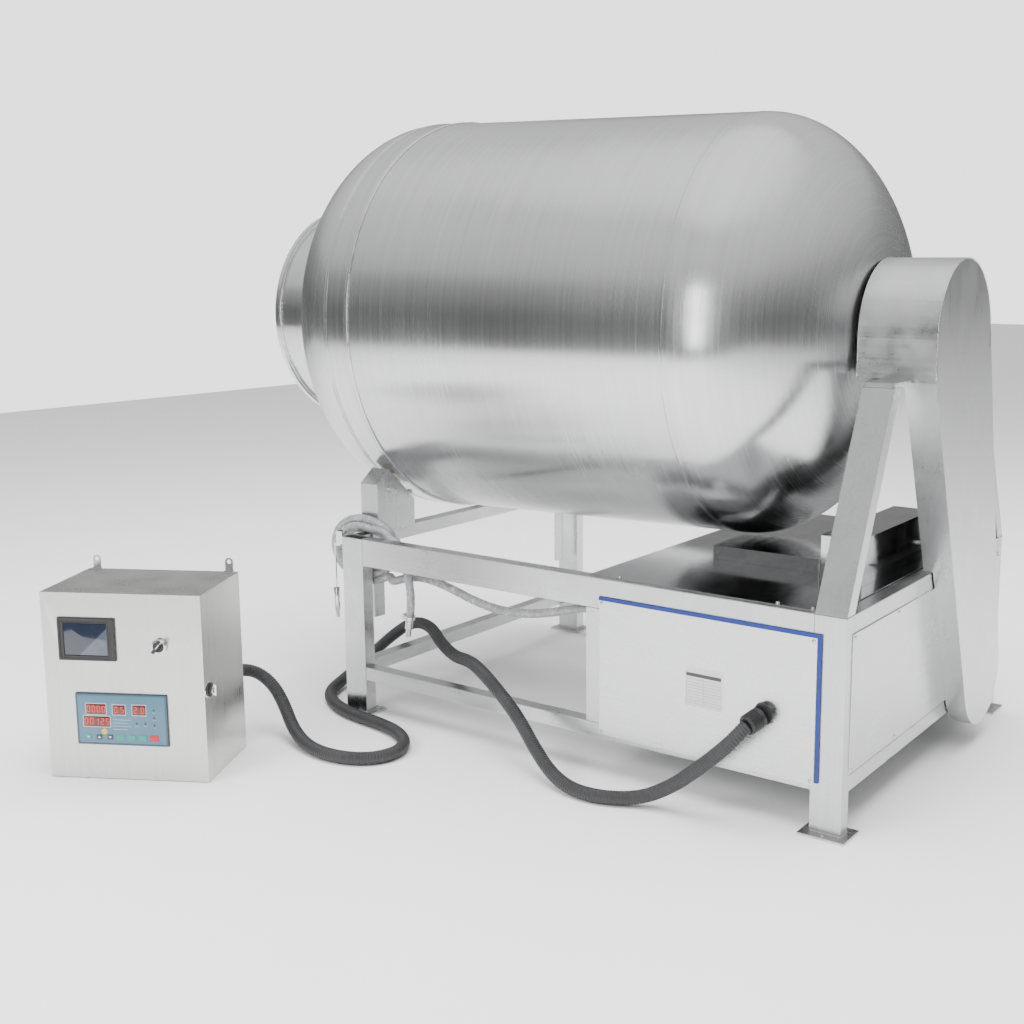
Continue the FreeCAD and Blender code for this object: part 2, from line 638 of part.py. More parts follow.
# ---------------------------------------------------------------- lid
LX = NE - LT                     # outer face of the neck flange
lid_pts = [(LX - 3, 330.0), (LX - 3, 290.0), (LX - 44, 186.0), (LX - 44, 14.0),
           (LX - 48, 14.0), (LX - 48, 188.0), (LX - 8, 293.5), (LX - 8, 330.0)]
lid = turn_body("lid_body", lid_pts)
grip = fuse(cyl(6.0, 36, (LX - 84, -100.0, 0), TO_X), cyl(6.0, 36, (LX - 84, -100.0, -120.0), TO_X),
            box((LX - 90, LX - 80), (-106.0, -94.0), (-126.0, 6.0)))
drum_part("lid", cut(lid, cyl(8.1, 80, (LX - 60, -265.0, 0), TO_X)))
drum_part("lid_handle", grip)
drum_part("lid_seal", cut(cyl(324.0, 2.5, (LX - 3, 0, 0), TO_X), cyl(306.0, 10, (LX - 6, 0, 0), TO_X)))
# hinge on the rear side of the neck, upright pin
HX, HY = LX - 12, 378.0
pin_r = 7.0
lugs = fuse(box((LX, LX + 12), (336.0, HY), (-52.0, -32.0)), box((LX, LX + 12), (336.0, HY), (32.0, 52.0)),
            cyl(15.0, 20, (HX, HY, -52.0)), cyl(15.0, 20, (HX, HY, 32.0)),
            box((HX, LX + 2), (HY - 12, HY + 12), (-52.0, -32.0)), box((HX, LX + 2), (HY - 12, HY + 12), (32.0, 52.0)))
lugs = cut(lugs, cyl(pin_r, 120, (HX, HY, -60.0)), cyl(D("lip_rad"), LT + 6, (LX - 0.01, 0, 0), TO_X))
drum_part("lid_hinge", group(lugs, fuse(cyl(pin_r, 112, (HX, HY, -56.0)), cyl(11.0, 4, (HX, HY, 52.0)))))
arm = fuse(cyl(15.0, 63, (HX, HY, -31.5)),
           box((LX - 20, LX - 8), (296.0, HY), (-24.0, 24.0)))
arm = cut(arm, cyl(pin_r + 0.06, 80, (HX, HY, -40.0)))
drum_part("hinge_arm", arm)
# quarter-turn catch: handle outside, tongue that reaches behind the flange
catch = fuse(cyl(8.0, 60, (LX - 38, -265.0, 0), TO_X),
             cyl(14.0, 10, (LX - 40, -265.0, 0), TO_X),
             box((LX - 50, LX - 38), (-277.0, -253.0), (-55.0, 12.0)),
             box((LX + 18, LX + 26), (-275.0, -255.0), (-50.0, 12.0)))
drum_part("lid_catch", catch)
valve = cut(fuse(cyl(14.0, 46, (LX - 90, 0, 0), TO_X), cyl(20.0, 26, (LX - 74, 0, 0), TO_X)),
            cyl(6.0, 60, (LX - 95, 0, 0), TO_X))
drum_part("vacuum_valve", valve)
drum_part("valve_lever", fuse(cyl(5.0, 20, (LX - 61, 0, 20.5)), box((LX - 66, LX - 56), (-6.0, 70.0), (32.0, 37.0))))

# ---------------------------------------------------------------- control box
BW, BD, BH, BT, DD = D("box_w"), D("box_d"), D("box_h"), D("box_wall"), D("door_dep")
YAW = Rot(V(0, 0, 1), VAL["box_yaw"])


def box_part(name, obj):
    node(name, obj, (D("box_x"), D("box_y"), 0), YAW)
    obj.setExpression("Placement.Rotation.Angle", "Dims.box_yaw")
    return obj


box_part("box_shell", cut(box((0, BW), (DD + 0.5, BD), (0, BH)),
                          box((BT, BW - BT), (DD - 5, BD - BT), (BT, BH - BT)),
                          cyl(17.0, 20, (BW - 70, BD - 10, 190.0), TO_Y)))
GU = BW - 70
door = cut(box((0, BW), (0, DD), (2.0, BH - 0.5)),
           box((BT, BW - BT), (BT, DD + 5), (2.0 + BT, BH - 0.5 - BT)),
           box((50.0, 190.0), (-5.0, 10.0), (325.0, 426.0)),
           box((86.0, 318.0), (-5.0, 10.0), (100.0, 228.0)),
           cyl(11.05, 20, (313.0, -5.0, 363.0), TO_Y),
           cyl(9.05, 20, (BW - 12, 20.0, 245.0), TO_X))
hz = ((70.0, 130.0), (367.0, 427.0))
hinges, leaves = [], []
HPX = -7.6
for z0, z1 in hz:
    zm = (z0 + z1) / 2
    hinges.append(cyl(4.0, z1 - z0, (HPX, DD + 0.25, z0)))
    hinges.append(cut(fuse(box((-2.0, 0), (DD + 1.5, DD + 30), (z0, z1)),
                           cyl(7.0, zm - z0 - 1, (HPX, DD + 0.25, z0))),
                      cyl(4.0, 80, (HPX, DD + 0.25, z0 - 5)),
                      box((-20.0, 5.0), (DD - 12, DD + 9), (zm - 0.5, z1 + 5))))
    leaves.append(cut(fuse(box((-2.0, 0), (DD - 30, DD - 1), (z0, z1)),
                           cyl(7.0, zm - z0 - 1, (HPX, DD + 0.25, zm + 1))),
                      cyl(4.06, 80, (HPX, DD + 0.25, z0 - 5)),
                      box((-20.0, 5.0), (DD - 40, DD + 12), (z0 - 5, zm + 0.5))))
box_part("box_hinges", group(*hinges))
box_part("box_door", group(door, *leaves))
box_part("box_electrics", group(box((30.0, BW - 30), (BD - 16, BD - 13), (30.0, BH - 30)),
                                box((60.0, 200.0), (BD - 146, BD - 16), (220.0, 430.0)),
                                box((230.0, 350.0), (BD - 96, BD - 16), (300.0, 400.0))))
lug_list = []
for u in (25.0, 399.0):
    tab = fuse(box((u - 11.0, u + 11.0), (BD - 2.5, BD), (BH, BH + 27)),
               cyl(11.0, 2.5, (u, BD - 2.5, BH + 27), TO_Y),
               box((u - 13.0, u + 13.0), (BD - 24, BD), (BH, BH + 2.5)))
    lug_list.append(cut(tab, cyl(6.0, 10, (u, BD - 6, BH + 27), TO_Y)))
box_part("box_lugs", group(*lug_list))
hmi = cut(fuse(box((44.0, 196.0), (-6.0, 0), (319.0, 432.0)), box((50.5, 189.5), (0, 34.0), (325.5, 425.5))),
          box((60.0, 176.0), (-7.0, -4.0), (333.0, 418.0)))
box_part("hmi_panel", hmi)
box_part("controller_panel", fuse(box((80.0, 324.0), (-5.0, 0), (95.0, 233.0)), box((86.5, 317.5), (0, 30.0), (100.5, 227.5))))
box_part("selector_ring", cut(fuse(cyl(17.0, 5, (313.0, -5.0, 363.0), TO_Y), cyl(11.0, 40, (313.0, -5.0, 363.0), TO_Y)),
                              cyl(8.05, 60, (313.0, -10.0, 363.0), TO_Y)))
grip_bar = raw("Part::Box", "grip_bar")
grip_bar.Length, grip_bar.Width, grip_bar.Height = 8.0, 14.0, 32.0
g_turn = Rot(V(0, 1, 0), 40)
g_off = g_turn.multVec(V(-4.0, 0, -16.0))
place(grip_bar, (313.0 + g_off.x, -27.0, 363.0 + g_off.z), g_turn)
box_part("selector_knob", fuse(cyl(14.0, 8, (313.0, -13.5, 363.0), TO_Y), cyl(8.0, 30, (313.0, -14.0, 363.0), TO_Y),
                               grip_bar))
box_part("door_lock", fuse(cyl(18.0, 8, (BW, 20.0, 245.0), TO_X), cyl(13.0, 16, (BW, 20.0, 245.0), TO_X),
                           cyl(9.0, 22, (BW - 6, 20.0, 245.0), TO_X)))
box_part("lock_key", fuse(box((BW + 16.5, BW + 24), (16.5, 23.5), (231.0, 259.0)), cyl(6.0, 4, (BW + 16.5, 20.0, 245.0), TO_X)))
box_part("box_gland", cut(fuse(cyl(24.0, 10, (GU, BD, 190.0), TO_Y), cyl(21.5, 45, (GU, BD, 190.0), TO_Y),
                               cyl(16.5, 14, (GU, BD - 12, 190.0), TO_Y)),
                          cyl(12.0, 80, (GU, BD - 20, 190.0), TO_Y)))

# ---------------------------------------------------------------- conduit and hose


def tube_along(P, r, label):
    """Round tube along straight runs joined by tangent arcs."""
    P = [V(*p) for p in P]
    edges, radii, cur = [], [], P[0]
    for i in range(1, len(P) - 1):
        a, b = P[i - 1] - P[i], P[i + 1] - P[i]
        turn = math.pi - a.getAngle(b)
        cutback = 0.45 * min(a.Length, b.Length)
        rad = cutback / math.tan(turn / 2)
        a.normalize()
        b.normalize()
        pa, pb = P[i] + a * cutback, P[i] + b * cutback
        m = a + b
        m.normalize()
        mid = P[i] + m * (rad / math.cos(turn / 2) - rad)
        edges.append(Part.LineSegment(cur, pa).toShape())
        edges.append(Part.Arc(pa, mid, pb).toShape())
        radii.append(round(rad))
        cur = pb
    edges.append(Part.LineSegment(cur, P[-1]).toShape())
    path = Part.Wire(edges)
    ring = Part.Wire([Part.Circle(P[0], P[1] - P[0], r).toShape()])
    solid = path.makePipeShell([ring], True, False)
    want = math.pi * r * r * path.Length
    print("%s: radii %s, length %.0f, volume ratio %.4f" % (label, radii, path.Length, solid.Volume / want))
    return solid


CONDUIT = [
    (580.0, -619.0, 252.0), (566.0, -646.0, 229.0), (534.0, -656.0, 192.0), (468.0, -652.0, 131.0), (394.0, -645.0, 68.0),
    (316.0, -660.0, 24.0), (232.0, -702.0, 19.0), (140.0, -708.0, 19.0), (58.0, -684.0, 34.0),
    (-18.0, -655.0, 78.0), (-93.0, -628.0, 140.0), (-188.0, -598.0, 191.0), (-282.0, -560.0, 222.0),
    (-372.0, -500.0, 214.0), (-480.0, -430.0, 187.0), (-590.0, -365.0, 192.0), (-690.0, -300.0, 217.0),
    (-800.0, -262.0, 206.0), (-888.0, -276.0, 142.0), (-940.0, -334.0, 72.0), (-960.0, -418.0, 24.0),
    (-930.0, -500.0, 19.0), (-868.0, -560.0, 19.0), (-780.0, -602.0, 19.0), (-684.0, -622.0, 19.0),
    (-590.0, -630.0, 19.0), (-505.0, -652.0, 19.0), (-436.0, -696.0, 19.0), (-400.0, -760.0, 19.0),
    (-416.0, -828.0, 19.0), (-474.0, -872.0, 19.0), (-552.0, -886.0, 19.0), (-640.0, -872.0, 21.0),
    (-722.0, -842.0, 42.0), (-784.0, -814.0, 88.0), (-836.0, -806.0, 138.0), (-884.0, -824.0, 174.0),
    (-905.0, -872.0, 189.0), (-894.4, -926.8, 190.0),
]
HOSE = [
    (70.0, -490.0, 430.0), (40.0, -490.5, 429.0), (-20.0, -493.0, 414.0), (-100.0, -497.0, 392.0), (-186.0, -497.5, 378.0),
    (-270.0, -497.0, 377.0), (-350.0, -494.0, 389.0), (-430.0, -489.0, 408.0), (-502.0, -484.0, 422.0),
    (-564.0, -480.5, 425.0), (-620.0, -483.0, 415.0), (-670.0, -489.0, 396.0),
]
TAIL = [
    (-637.0, -500.0, 528.0), (-619.0, -503.5, 499.0), (-598.0, -507.0, 462.0), (-582.0, -509.0, 420.0), (-577.0, -508.0, 372.0),
    (-582.0, -505.0, 330.0), (-589.0, -503.0, 296.0),
]
feature("conduit", tube_along(CONDUIT, sheet.get("cond_rad"), "conduit"))
feature("vacuum_hose", tube_along(HOSE, sheet.get("hose_rad"), "vacuum hose"))
feature("vacuum_hose_tail", tube_along(TAIL, sheet.get("hose_rad"), "hose tail"))


def ellipse_prism(cx, cz, a, b, y0, y1):
    e = Part.Ellipse(V(cx, y0, cz), a, b)
    e.Axis = V(0, 1, 0)
    e.XAxis = V(1, 0, 0)
    return Part.Face(Part.Wire([e.toShape()])).extrude(V(0, y1 - y0, 0))


hy = sheet.get("hose_y")
ca, cb, ccx, ccz = (sheet.get(k) for k in ("coil_a", "coil_b", "coil_x", "coil_z"))
coil = ellipse_prism(ccx, ccz, ca, cb, hy - 13, hy + 13).cut(
    ellipse_prism(ccx, ccz + 2, ca - 70, cb - 69, hy - 20, hy + 20))
feature("vacuum_hose_coil", coil)

# gland on the front panel: nut, then a sleeve that points down along the conduit
d0 = V(-20.0, -58.0, -20.0)
d0.normalize()
tip = V(580.0, -619.0, 252.0)
g_rot = Rot(V(0, 0, 1), d0)
sleeve_len = 44.0
base_pt = tip - d0 * sleeve_len
sleeve = cyl(23.0, sleeve_len, (base_pt.x, base_pt.y, base_pt.z), g_rot)
collar = fuse(cyl(26.0, 14, (600.0, -W - ST - 14, 272.0), TO_Y), cyl(18.0, 24, (600.0, -W - ST - 2, 272.0), TO_Y))
node("conduit_gland", fuse(collar, sleeve))
node("hose_port", cut(fuse(cyl(16.0, 8, (MX - 10, -490.0, 430.0), TO_X), cyl(9.5, 22, (MX - 6, -490.0, 430.0), TO_X)),
                      cyl(6.0, 60, (MX - 20, -490.0, 430.0), TO_X)))
td = V(-7.0, 2.0, -34.0)
td.normalize()
t_rot = Rot(V(0, 0, 1), td)
te = V(-589.0, -503.0, 296.0)
f1 = te
f2 = te + td * 26
ends = fuse(cyl(11.0, 26, (f1.x, f1.y, f1.z), t_rot), cyl(8.0, 24, (f2.x, f2.y, f2.z), t_rot))
c1 = te - td * 16
clamp = cut(fuse(cyl(15.0, 12, (c1.x, c1.y, c1.z), t_rot), box((-612.0, -600.0), (-512.0, -496.0), (300.0, 314.0))),
                       cyl(12.6, 60, (c1.x - td.x * 20, c1.y - td.y * 20, c1.z - td.z * 20), t_rot))
node("hose_fittings", group(ends, clamp))
hook = fuse(box((-823.0, -798.0), (-558.0, -554.0), (507.0, 545.0)),
            box((-823.0, -819.0), (-558.0, -534.0), (507.0, 545.0)))
node("hose_hook", group(hook, fuse(cyl(9.0, 66, (-846.0, -540.0, 300.0)), cyl(6.5, 24, (-846.0, -540.0, 276.0)),
                         box((-848.0, -844.0), (-542.0, -538.0), (366.0, 500.0)),
                         box((-848.0, -823.0), (-542.0, -538.0), (496.0, 504.0)))))

doc.recompute()
bad = [o.Name for o in doc.Objects if "Invalid" in o.State or "Error" in o.State]
if bad:
    raise SystemExit("objects that failed: %s" % bad)
names = set()
for o in NODES:
    s = o.Shape
    if s.isNull() or not s.isValid() or not s.Solids:
        raise SystemExit("sub-part %s has no valid solid" % o.Label)
    if o.Label in names:
        raise SystemExit("two sub-parts are called %s" % o.Label)
    names.add(o.Label)
for o in NODES:
    o.Shape.exportStep("parts/%s.step" % o.Label)
print("%d sub-parts" % len(NODES))
for o in NODES:
    bb = o.Shape.optimalBoundingBox(False)
    print("%-22s solids %3d  x %8.1f %8.1f  y %8.1f %8.1f  z %8.1f %8.1f  vol %10.0f" % (
        o.Label, len(o.Shape.Solids), bb.XMin, bb.XMax, bb.YMin, bb.YMax, bb.ZMin, bb.ZMax, o.Shape.Volume))
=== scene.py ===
import math
import random

import bmesh
import bpy
from mathutils import Matrix, Vector


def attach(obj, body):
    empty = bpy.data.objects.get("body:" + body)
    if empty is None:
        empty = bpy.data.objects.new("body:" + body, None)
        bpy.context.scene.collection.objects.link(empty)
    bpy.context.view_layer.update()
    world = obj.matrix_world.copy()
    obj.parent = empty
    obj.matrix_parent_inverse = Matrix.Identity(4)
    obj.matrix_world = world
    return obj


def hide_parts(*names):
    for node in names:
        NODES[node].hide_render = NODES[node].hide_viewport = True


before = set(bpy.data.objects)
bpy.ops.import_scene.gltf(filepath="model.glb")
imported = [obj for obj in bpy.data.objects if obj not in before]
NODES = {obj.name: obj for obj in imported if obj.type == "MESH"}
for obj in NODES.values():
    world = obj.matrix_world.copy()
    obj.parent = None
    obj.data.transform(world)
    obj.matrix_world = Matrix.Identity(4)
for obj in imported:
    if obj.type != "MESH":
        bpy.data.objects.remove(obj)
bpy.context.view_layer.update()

scene = bpy.context.scene
rnd = random.Random(7)
AZ = 1.154                      # height of the drum's axis

# ------------------------------------------------------------------ camera
CAM_AT = Vector((1.94497, -3.21916, 1.32290))
YAW, PITCH, ROLL = math.radians(34.2946), math.radians(9.5442), math.radians(0.0690)


def aim(yaw, pitch, roll, at):
    back = Vector((math.sin(yaw) * math.cos(pitch), -math.cos(yaw) * math.cos(pitch), math.sin(pitch)))
    right = Vector((math.cos(yaw), math.sin(yaw), 0))
    up = back.cross(right)
    r2 = right * math.cos(roll) + up * math.sin(roll)
    u2 = up * math.cos(roll) - right * math.sin(roll)
    return Matrix(((r2.x, u2.x, back.x, at.x), (r2.y, u2.y, back.y, at.y), (r2.z, u2.z, back.z, at.z), (0, 0, 0, 1)))


cam_data = bpy.data.cameras.new("camera")
cam = bpy.data.objects.new("camera", cam_data)
scene.collection.objects.link(cam)
cam_data.lens = 45.738
cam_data.sensor_width = 36.0
cam_data.shift_x, cam_data.shift_y = -0.08887, -0.02912
cam_data.clip_end = 100.0
cam.matrix_world = aim(YAW, PITCH, ROLL, CAM_AT)
scene.camera = cam

# ------------------------------------------------------------------ mesh helpers


class Build:
    """Collects faces for one piece, in metres in the row frame."""

    def __init__(self):
        self.v, self.f, self.m = [], [], []

    def add(self, verts, faces, mat=0):
        base = len(self.v)
        self.v.extend([tuple(p) for p in verts])
        self.f.extend([tuple(base + i for i in f) for f in faces])
        self.m.extend([mat] * len(faces))

    def rings(self, rings, closed=True, cap0=True, cap1=True, mat=0):
        """Skin over a list of equal rings of points."""
        n = len(rings[0])
        verts = [p for r in rings for p in r]
        faces = []
        for i in range(len(rings) - 1):
            for j in range(n if closed else n - 1):
                k = (j + 1) % n
                faces.append((i * n + j, i * n + k, (i + 1) * n + k, (i + 1) * n + j))
        if cap0:
            faces.append(tuple(range(n - 1, -1, -1)))
        if cap1:
            faces.append(tuple((len(rings) - 1) * n + j for j in range(n)))
        self.add(verts, faces, mat)

    def lathe(self, at, axis, profile, n=32, mat=0, cap0=True, cap1=True, hint=None):
        """Turn (distance along axis, radius) points about an axis through a point."""
        a = Vector(axis).normalized()
        u = (Vector(hint) if hint else (Vector((0, 0, 1)) if abs(a.z) < 0.9 else Vector((1, 0, 0))))
        u = (u - a * u.dot(a)).normalized()
        w = a.cross(u)
        at = Vector(at)
        rr = []
        for d, r in profile:
            rr.append([at + a * d + (u * math.cos(2 * math.pi * k / n) + w * math.sin(2 * math.pi * k / n)) * r for k in range(n)])
        self.rings(rr, True, cap0, cap1, mat)

    def prism(self, at, x, y, z, pts, h, bev=0.0, mat=0):
        """A plate with outline pts (u, v) in the axes x, y, and height h along z, its top edge softened by bev."""
        at, x, y, z = Vector(at), Vector(x), Vector(y), Vector(z)
        cx = sum(p[0] for p in pts) / len(pts)
        cy = sum(p[1] for p in pts) / len(pts)
        n = len(pts)

        def inset(d):
            res = []
            for i in range(n):
                p0, p1, p2 = Vector(pts[i - 1]), Vector(pts[i]), Vector(pts[(i + 1) % n])
                e1, e2 = (p1 - p0).normalized(), (p2 - p1).normalized()
                n1, n2 = Vector((-e1.y, e1.x)), Vector((-e2.y, e2.x))
                if n1.dot(Vector((cx, cy)) - p1) < 0:
                    n1 = -n1
                if n2.dot(Vector((cx, cy)) - p1) < 0:
                    n2 = -n2
                m = n1 + n2
                m = m / max(m.dot(n1), 0.25)
                res.append(p1 + m * d)
            return res
        levels = [(0.0, 0.0), (h, 0.0)] if not bev else [(0.0, 0.0), (h - bev, 0.0), (h - bev * 0.3, bev * 0.3), (h, bev)]
        rr = []
        for hh, dd in levels:
            q = inset(dd)
            rr.append([at + x * a + y * b + z * hh for a, b in q])
        self.rings(rr, True, True, True, mat)

    def make(self, name, mats, smooth=40.0):
        me = bpy.data.meshes.new(name)
        me.from_pydata(self.v, [], self.f)
        for m in mats:
            me.materials.append(m)
        for p, mi in zip(me.polygons, self.m):
            p.material_index = mi
        bm = bmesh.new()
        bm.from_mesh(me)
        bmesh.ops.recalc_face_normals(bm, faces=bm.faces)
        bm.to_mesh(me)
        bm.free()
        ob = bpy.data.objects.new(name, me)
        scene.collection.objects.link(ob)
        if smooth:
            for p in me.polygons:
                p.use_smooth = True
            me.set_sharp_from_angle(angle=math.radians(smooth))
        return ob


def rounded(w, h, r, n=5, cx=0.0, cy=0.0):
    """Outline of a rectangle with round corners."""
    pts = []
    for sx, sy, a0 in ((1, 1, 0), (-1, 1, 90), (-1, -1, 180), (1, -1, 270)):
        for k in range(n + 1):
            a = math.radians(a0 + 90.0 * k / n)
            pts.append((cx + sx * (w / 2 - r) + r * math.cos(a), cy + sy * (h / 2 - r) + r * math.sin(a)))
    return pts


def put(piece, body, slot, *stands_for):
    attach(piece, body)
    if stands_for:
        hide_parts(*stands_for)
    return piece


def smooth_line(points, name):
    """The points' own smooth line: a NURBS spline of order 3 through its two ends, read as a line."""
    cu = bpy.data.curves.new(name, "CURVE")
    cu.dimensions = "3D"
    sp = cu.splines.new("NURBS")
    sp.points.add(len(points) - 1)
    for q, p in zip(sp.points, points):
        q.co = (p[0], p[1], p[2], 1.0)
    sp.order_u = 3
    sp.use_endpoint_u = True
    sp.resolution_u = 16
    cu.resolution_u = 16
    ob = bpy.data.objects.new(name, cu)
    scene.collection.objects.link(ob)
    bpy.context.view_layer.update()
    me = bpy.data.meshes.new_from_object(ob)
    line = [v.co.copy() for v in me.vertices]
    bpy.data.objects.remove(ob)
    bpy.data.curves.remove(cu)
    bpy.data.meshes.remove(me)
    return line


def resample(line, step):
    """Evenly spaced points along a line, with its distances."""
    d = [0.0]
    for a, b in zip(line, line[1:]):
        d.append(d[-1] + (b - a).length)
    n = max(2, int(round(d[-1] / step)))
    out, i = [], 0
    for k in range(n + 1):
        s = d[-1] * k / n
        while i < len(d) - 2 and d[i + 1] < s:
            i += 1
        t = 0 if d[i + 1] == d[i] else (s - d[i]) / (d[i + 1] - d[i])
        out.append(line[i].lerp(line[i + 1], min(max(t, 0), 1)))
    return out, d[-1]


def carried_axes(pts):
    """Axes that follow a line without twisting."""
    n = len(pts)
    tang = []
    for i in range(n):
        a, b = pts[max(i - 1, 0)], pts[min(i + 1, n - 1)]
        tang.append((b - a).normalized())
    u = Vector((0, 0, 1)) if abs(tang[0].z) < 0.9 else Vector((1, 0, 0))
    u = (u - tang[0] * u.dot(tang[0])).normalized()
    res = []
    for t in tang:
        u = (u - t * u.dot(t)).normalized()
        res.append((t, u, t.cross(u)))
    return res


def tube(name, pts, radius, seg, mats, twist=None):
    """Tube along points with radius(distance, angle)."""
    ax = carried_axes(pts)
    b = Build()
    rr, s = [], 0.0
    for i, (p, (t, u, w)) in enumerate(zip(pts, ax)):
        if i:
            s += (pts[i] - pts[i - 1]).length
        ring = []
        for k in range(seg):
            a = 2 * math.pi * k / seg
            r = radius(s, a)
            ring.append(p + (u * math.cos(a) + w * math.sin(a)) * r)
        rr.append(ring)
    b.rings(rr)
    return b.make(name, mats, 60.0)


# ------------------------------------------------------------------ materials


def shader(name):
    m = bpy.data.materials.new(name)
    m.use_nodes = True
    nt = m.node_tree
    return m, nt, nt.nodes["Principled BSDF"]


class Net:
    """Short hand for wiring nodes."""

    def __init__(self, nt):
        self.nt = nt

    def n(self, kind, **kw):
        node = self.nt.nodes.new(kind)
        for k, v in kw.items():
            setattr(node, k, v)
        return node

    def link(self, a, b):
        self.nt.links.new(a, b)

    def math(self, op, a, b=None, clamp=False):
        node = self.n("ShaderNodeMath", operation=op, use_clamp=clamp)
        for i, v in enumerate((a, b)):
            if v is None:
                continue
            if isinstance(v, (int, float)):
                node.inputs[i].default_value = v
            else:
                self.link(v, node.inputs[i])
        return node.outputs[0]

    def coords(self):
        return self.n("ShaderNodeTexCoord").outputs["Object"]

    def scaled(self, vec, scale, loc=(0, 0, 0), rot=(0, 0, 0)):
        mp = self.n("ShaderNodeMapping")
        mp.inputs["Scale"].default_value = scale
        mp.inputs["Location"].default_value = loc
        mp.inputs["Rotation"].default_value = rot
        self.link(vec, mp.inputs["Vector"])
        return mp.outputs[0]

    def noise(self, vec, scale, detail=3.0, rough=0.55, out="Fac"):
        t = self.n("ShaderNodeTexNoise")
        t.inputs["Scale"].default_value = scale
        t.inputs["Detail"].default_value = detail
        t.inputs["Roughness"].default_value = rough
        self.link(vec, t.inputs["Vector"])
        return t.outputs[out]

    def ramp(self, fac, stops, mode="LINEAR"):
        r = self.n("ShaderNodeValToRGB")
        r.color_ramp.interpolation = mode
        els = r.color_ramp.elements
        while len(els) > len(stops):
            els.remove(els[-1])
        while len(els) < len(stops):
            els.new(0.5)
        for e, (pos, c) in zip(els, stops):
            e.position = pos
            e.color = (c, c, c, 1) if isinstance(c, (int, float)) else (*c, 1)
        self.link(fac, r.inputs[0])
        return r.outputs[0]

    def span(self, fac, lo, hi, a=0.0, b=1.0):
        mr = self.n("ShaderNodeMapRange")
        mr.inputs[1].default_value, mr.inputs[2].default_value = lo, hi
        mr.inputs[3].default_value, mr.inputs[4].default_value = a, b
        self.link(fac, mr.inputs[0])
        return mr.outputs[0]

    def mix(self, fac, a, b, kind="MIX"):
        mx = self.n("ShaderNodeMix", data_type="RGBA", blend_type=kind)
        for sock, v in ((mx.inputs[0], fac), (mx.inputs[6], a), (mx.inputs[7], b)):
            if isinstance(v, (int, float)):
                sock.default_value = v if sock == mx.inputs[0] else (v, v, v, 1)
            elif isinstance(v, tuple):
                sock.default_value = (*v, 1)
            else:
                self.link(v, sock)
        return mx.outputs[2]

    def bump(self, height, strength, dist, normal=None):
        bp = self.n("ShaderNodeBump")
        bp.inputs["Strength"].default_value = strength
        bp.inputs["Distance"].default_value = dist
        self.link(height, bp.inputs["Height"])
        if normal is not None:
            self.link(normal, bp.inputs["Normal"])
        return bp.outputs[0]


def brushed(name, tone=(0.62, 0.63, 0.64), along="X", rough=(0.24, 0.36), line=900.0, blotch=0.12, aniso=0.0, depth=0.10, seed=0.0, weld=0.0):
    """Sheet or tube steel with fine straight brushing, soft blotches and worn tone."""
    m, nt, p = shader(name)
    k = Net(nt)
    co = k.coords()
    long_, short = 3.0, line
    sc = {"X": (long_, short, short), "Y": (short, long_, short), "Z": (short, short, long_), "N": (90.0, 90.0, 90.0)}[along]
    fine = k.noise(k.scaled(co, sc, (seed, seed * 0.7, seed * 1.3)), 1.0, 2.0, 0.6)
    sc2 = tuple(s * 0.16 for s in sc)
    mid = k.noise(k.scaled(co, sc2, (seed * 2.1, 0.3, 0.7)), 1.0, 3.0, 0.6)
    big = k.noise(k.scaled(co, (2.2, 2.2, 2.2), (seed, 1.0, 2.0)), 1.0, 4.0, 0.55)
    smudge = k.noise(k.scaled(co, (9.0, 9.0, 9.0), (seed, 4.0, 5.0)), 1.0, 5.0, 0.6)
    lines = k.math("ADD", k.math("MULTIPLY", fine, 0.5), k.math("MULTIPLY", mid, 0.5))
    v = k.math("ADD", k.span(lines, 0.3, 0.7, -0.07, 0.07), k.span(big, 0.3, 0.7, -blotch * 0.5, blotch * 0.5))
    v = k.math("ADD", v, k.span(smudge, 0.35, 0.7, -blotch * 0.3, blotch * 0.3))
    v = k.math("ADD", v, 1.0)
    cv = k.n("ShaderNodeVectorMath", operation="SCALE")
    cv.inputs[0].default_value = tone
    k.link(v, cv.inputs["Scale"])
    k.link(cv.outputs[0], p.inputs["Base Color"])
    r = k.math("ADD", k.span(smudge, 0.3, 0.7, rough[0], rough[1]), k.span(lines, 0.3, 0.7, -0.04, 0.05))
    k.link(r, p.inputs["Roughness"])
    k.link(k.bump(lines, depth, 0.0004), p.inputs["Normal"])
    p.inputs["Metallic"].default_value = 1.0
    if aniso:
        p.inputs["Anisotropic"].default_value = aniso
        p.inputs["Anisotropic Rotation"].default_value = 0.25
        tg = k.n("ShaderNodeTangent", direction_type="RADIAL", axis={"X": "Z", "Y": "Z", "Z": "Z", "N": "Z"}[along])
        k.link(tg.outputs[0], p.inputs["Tangent"])
    return m


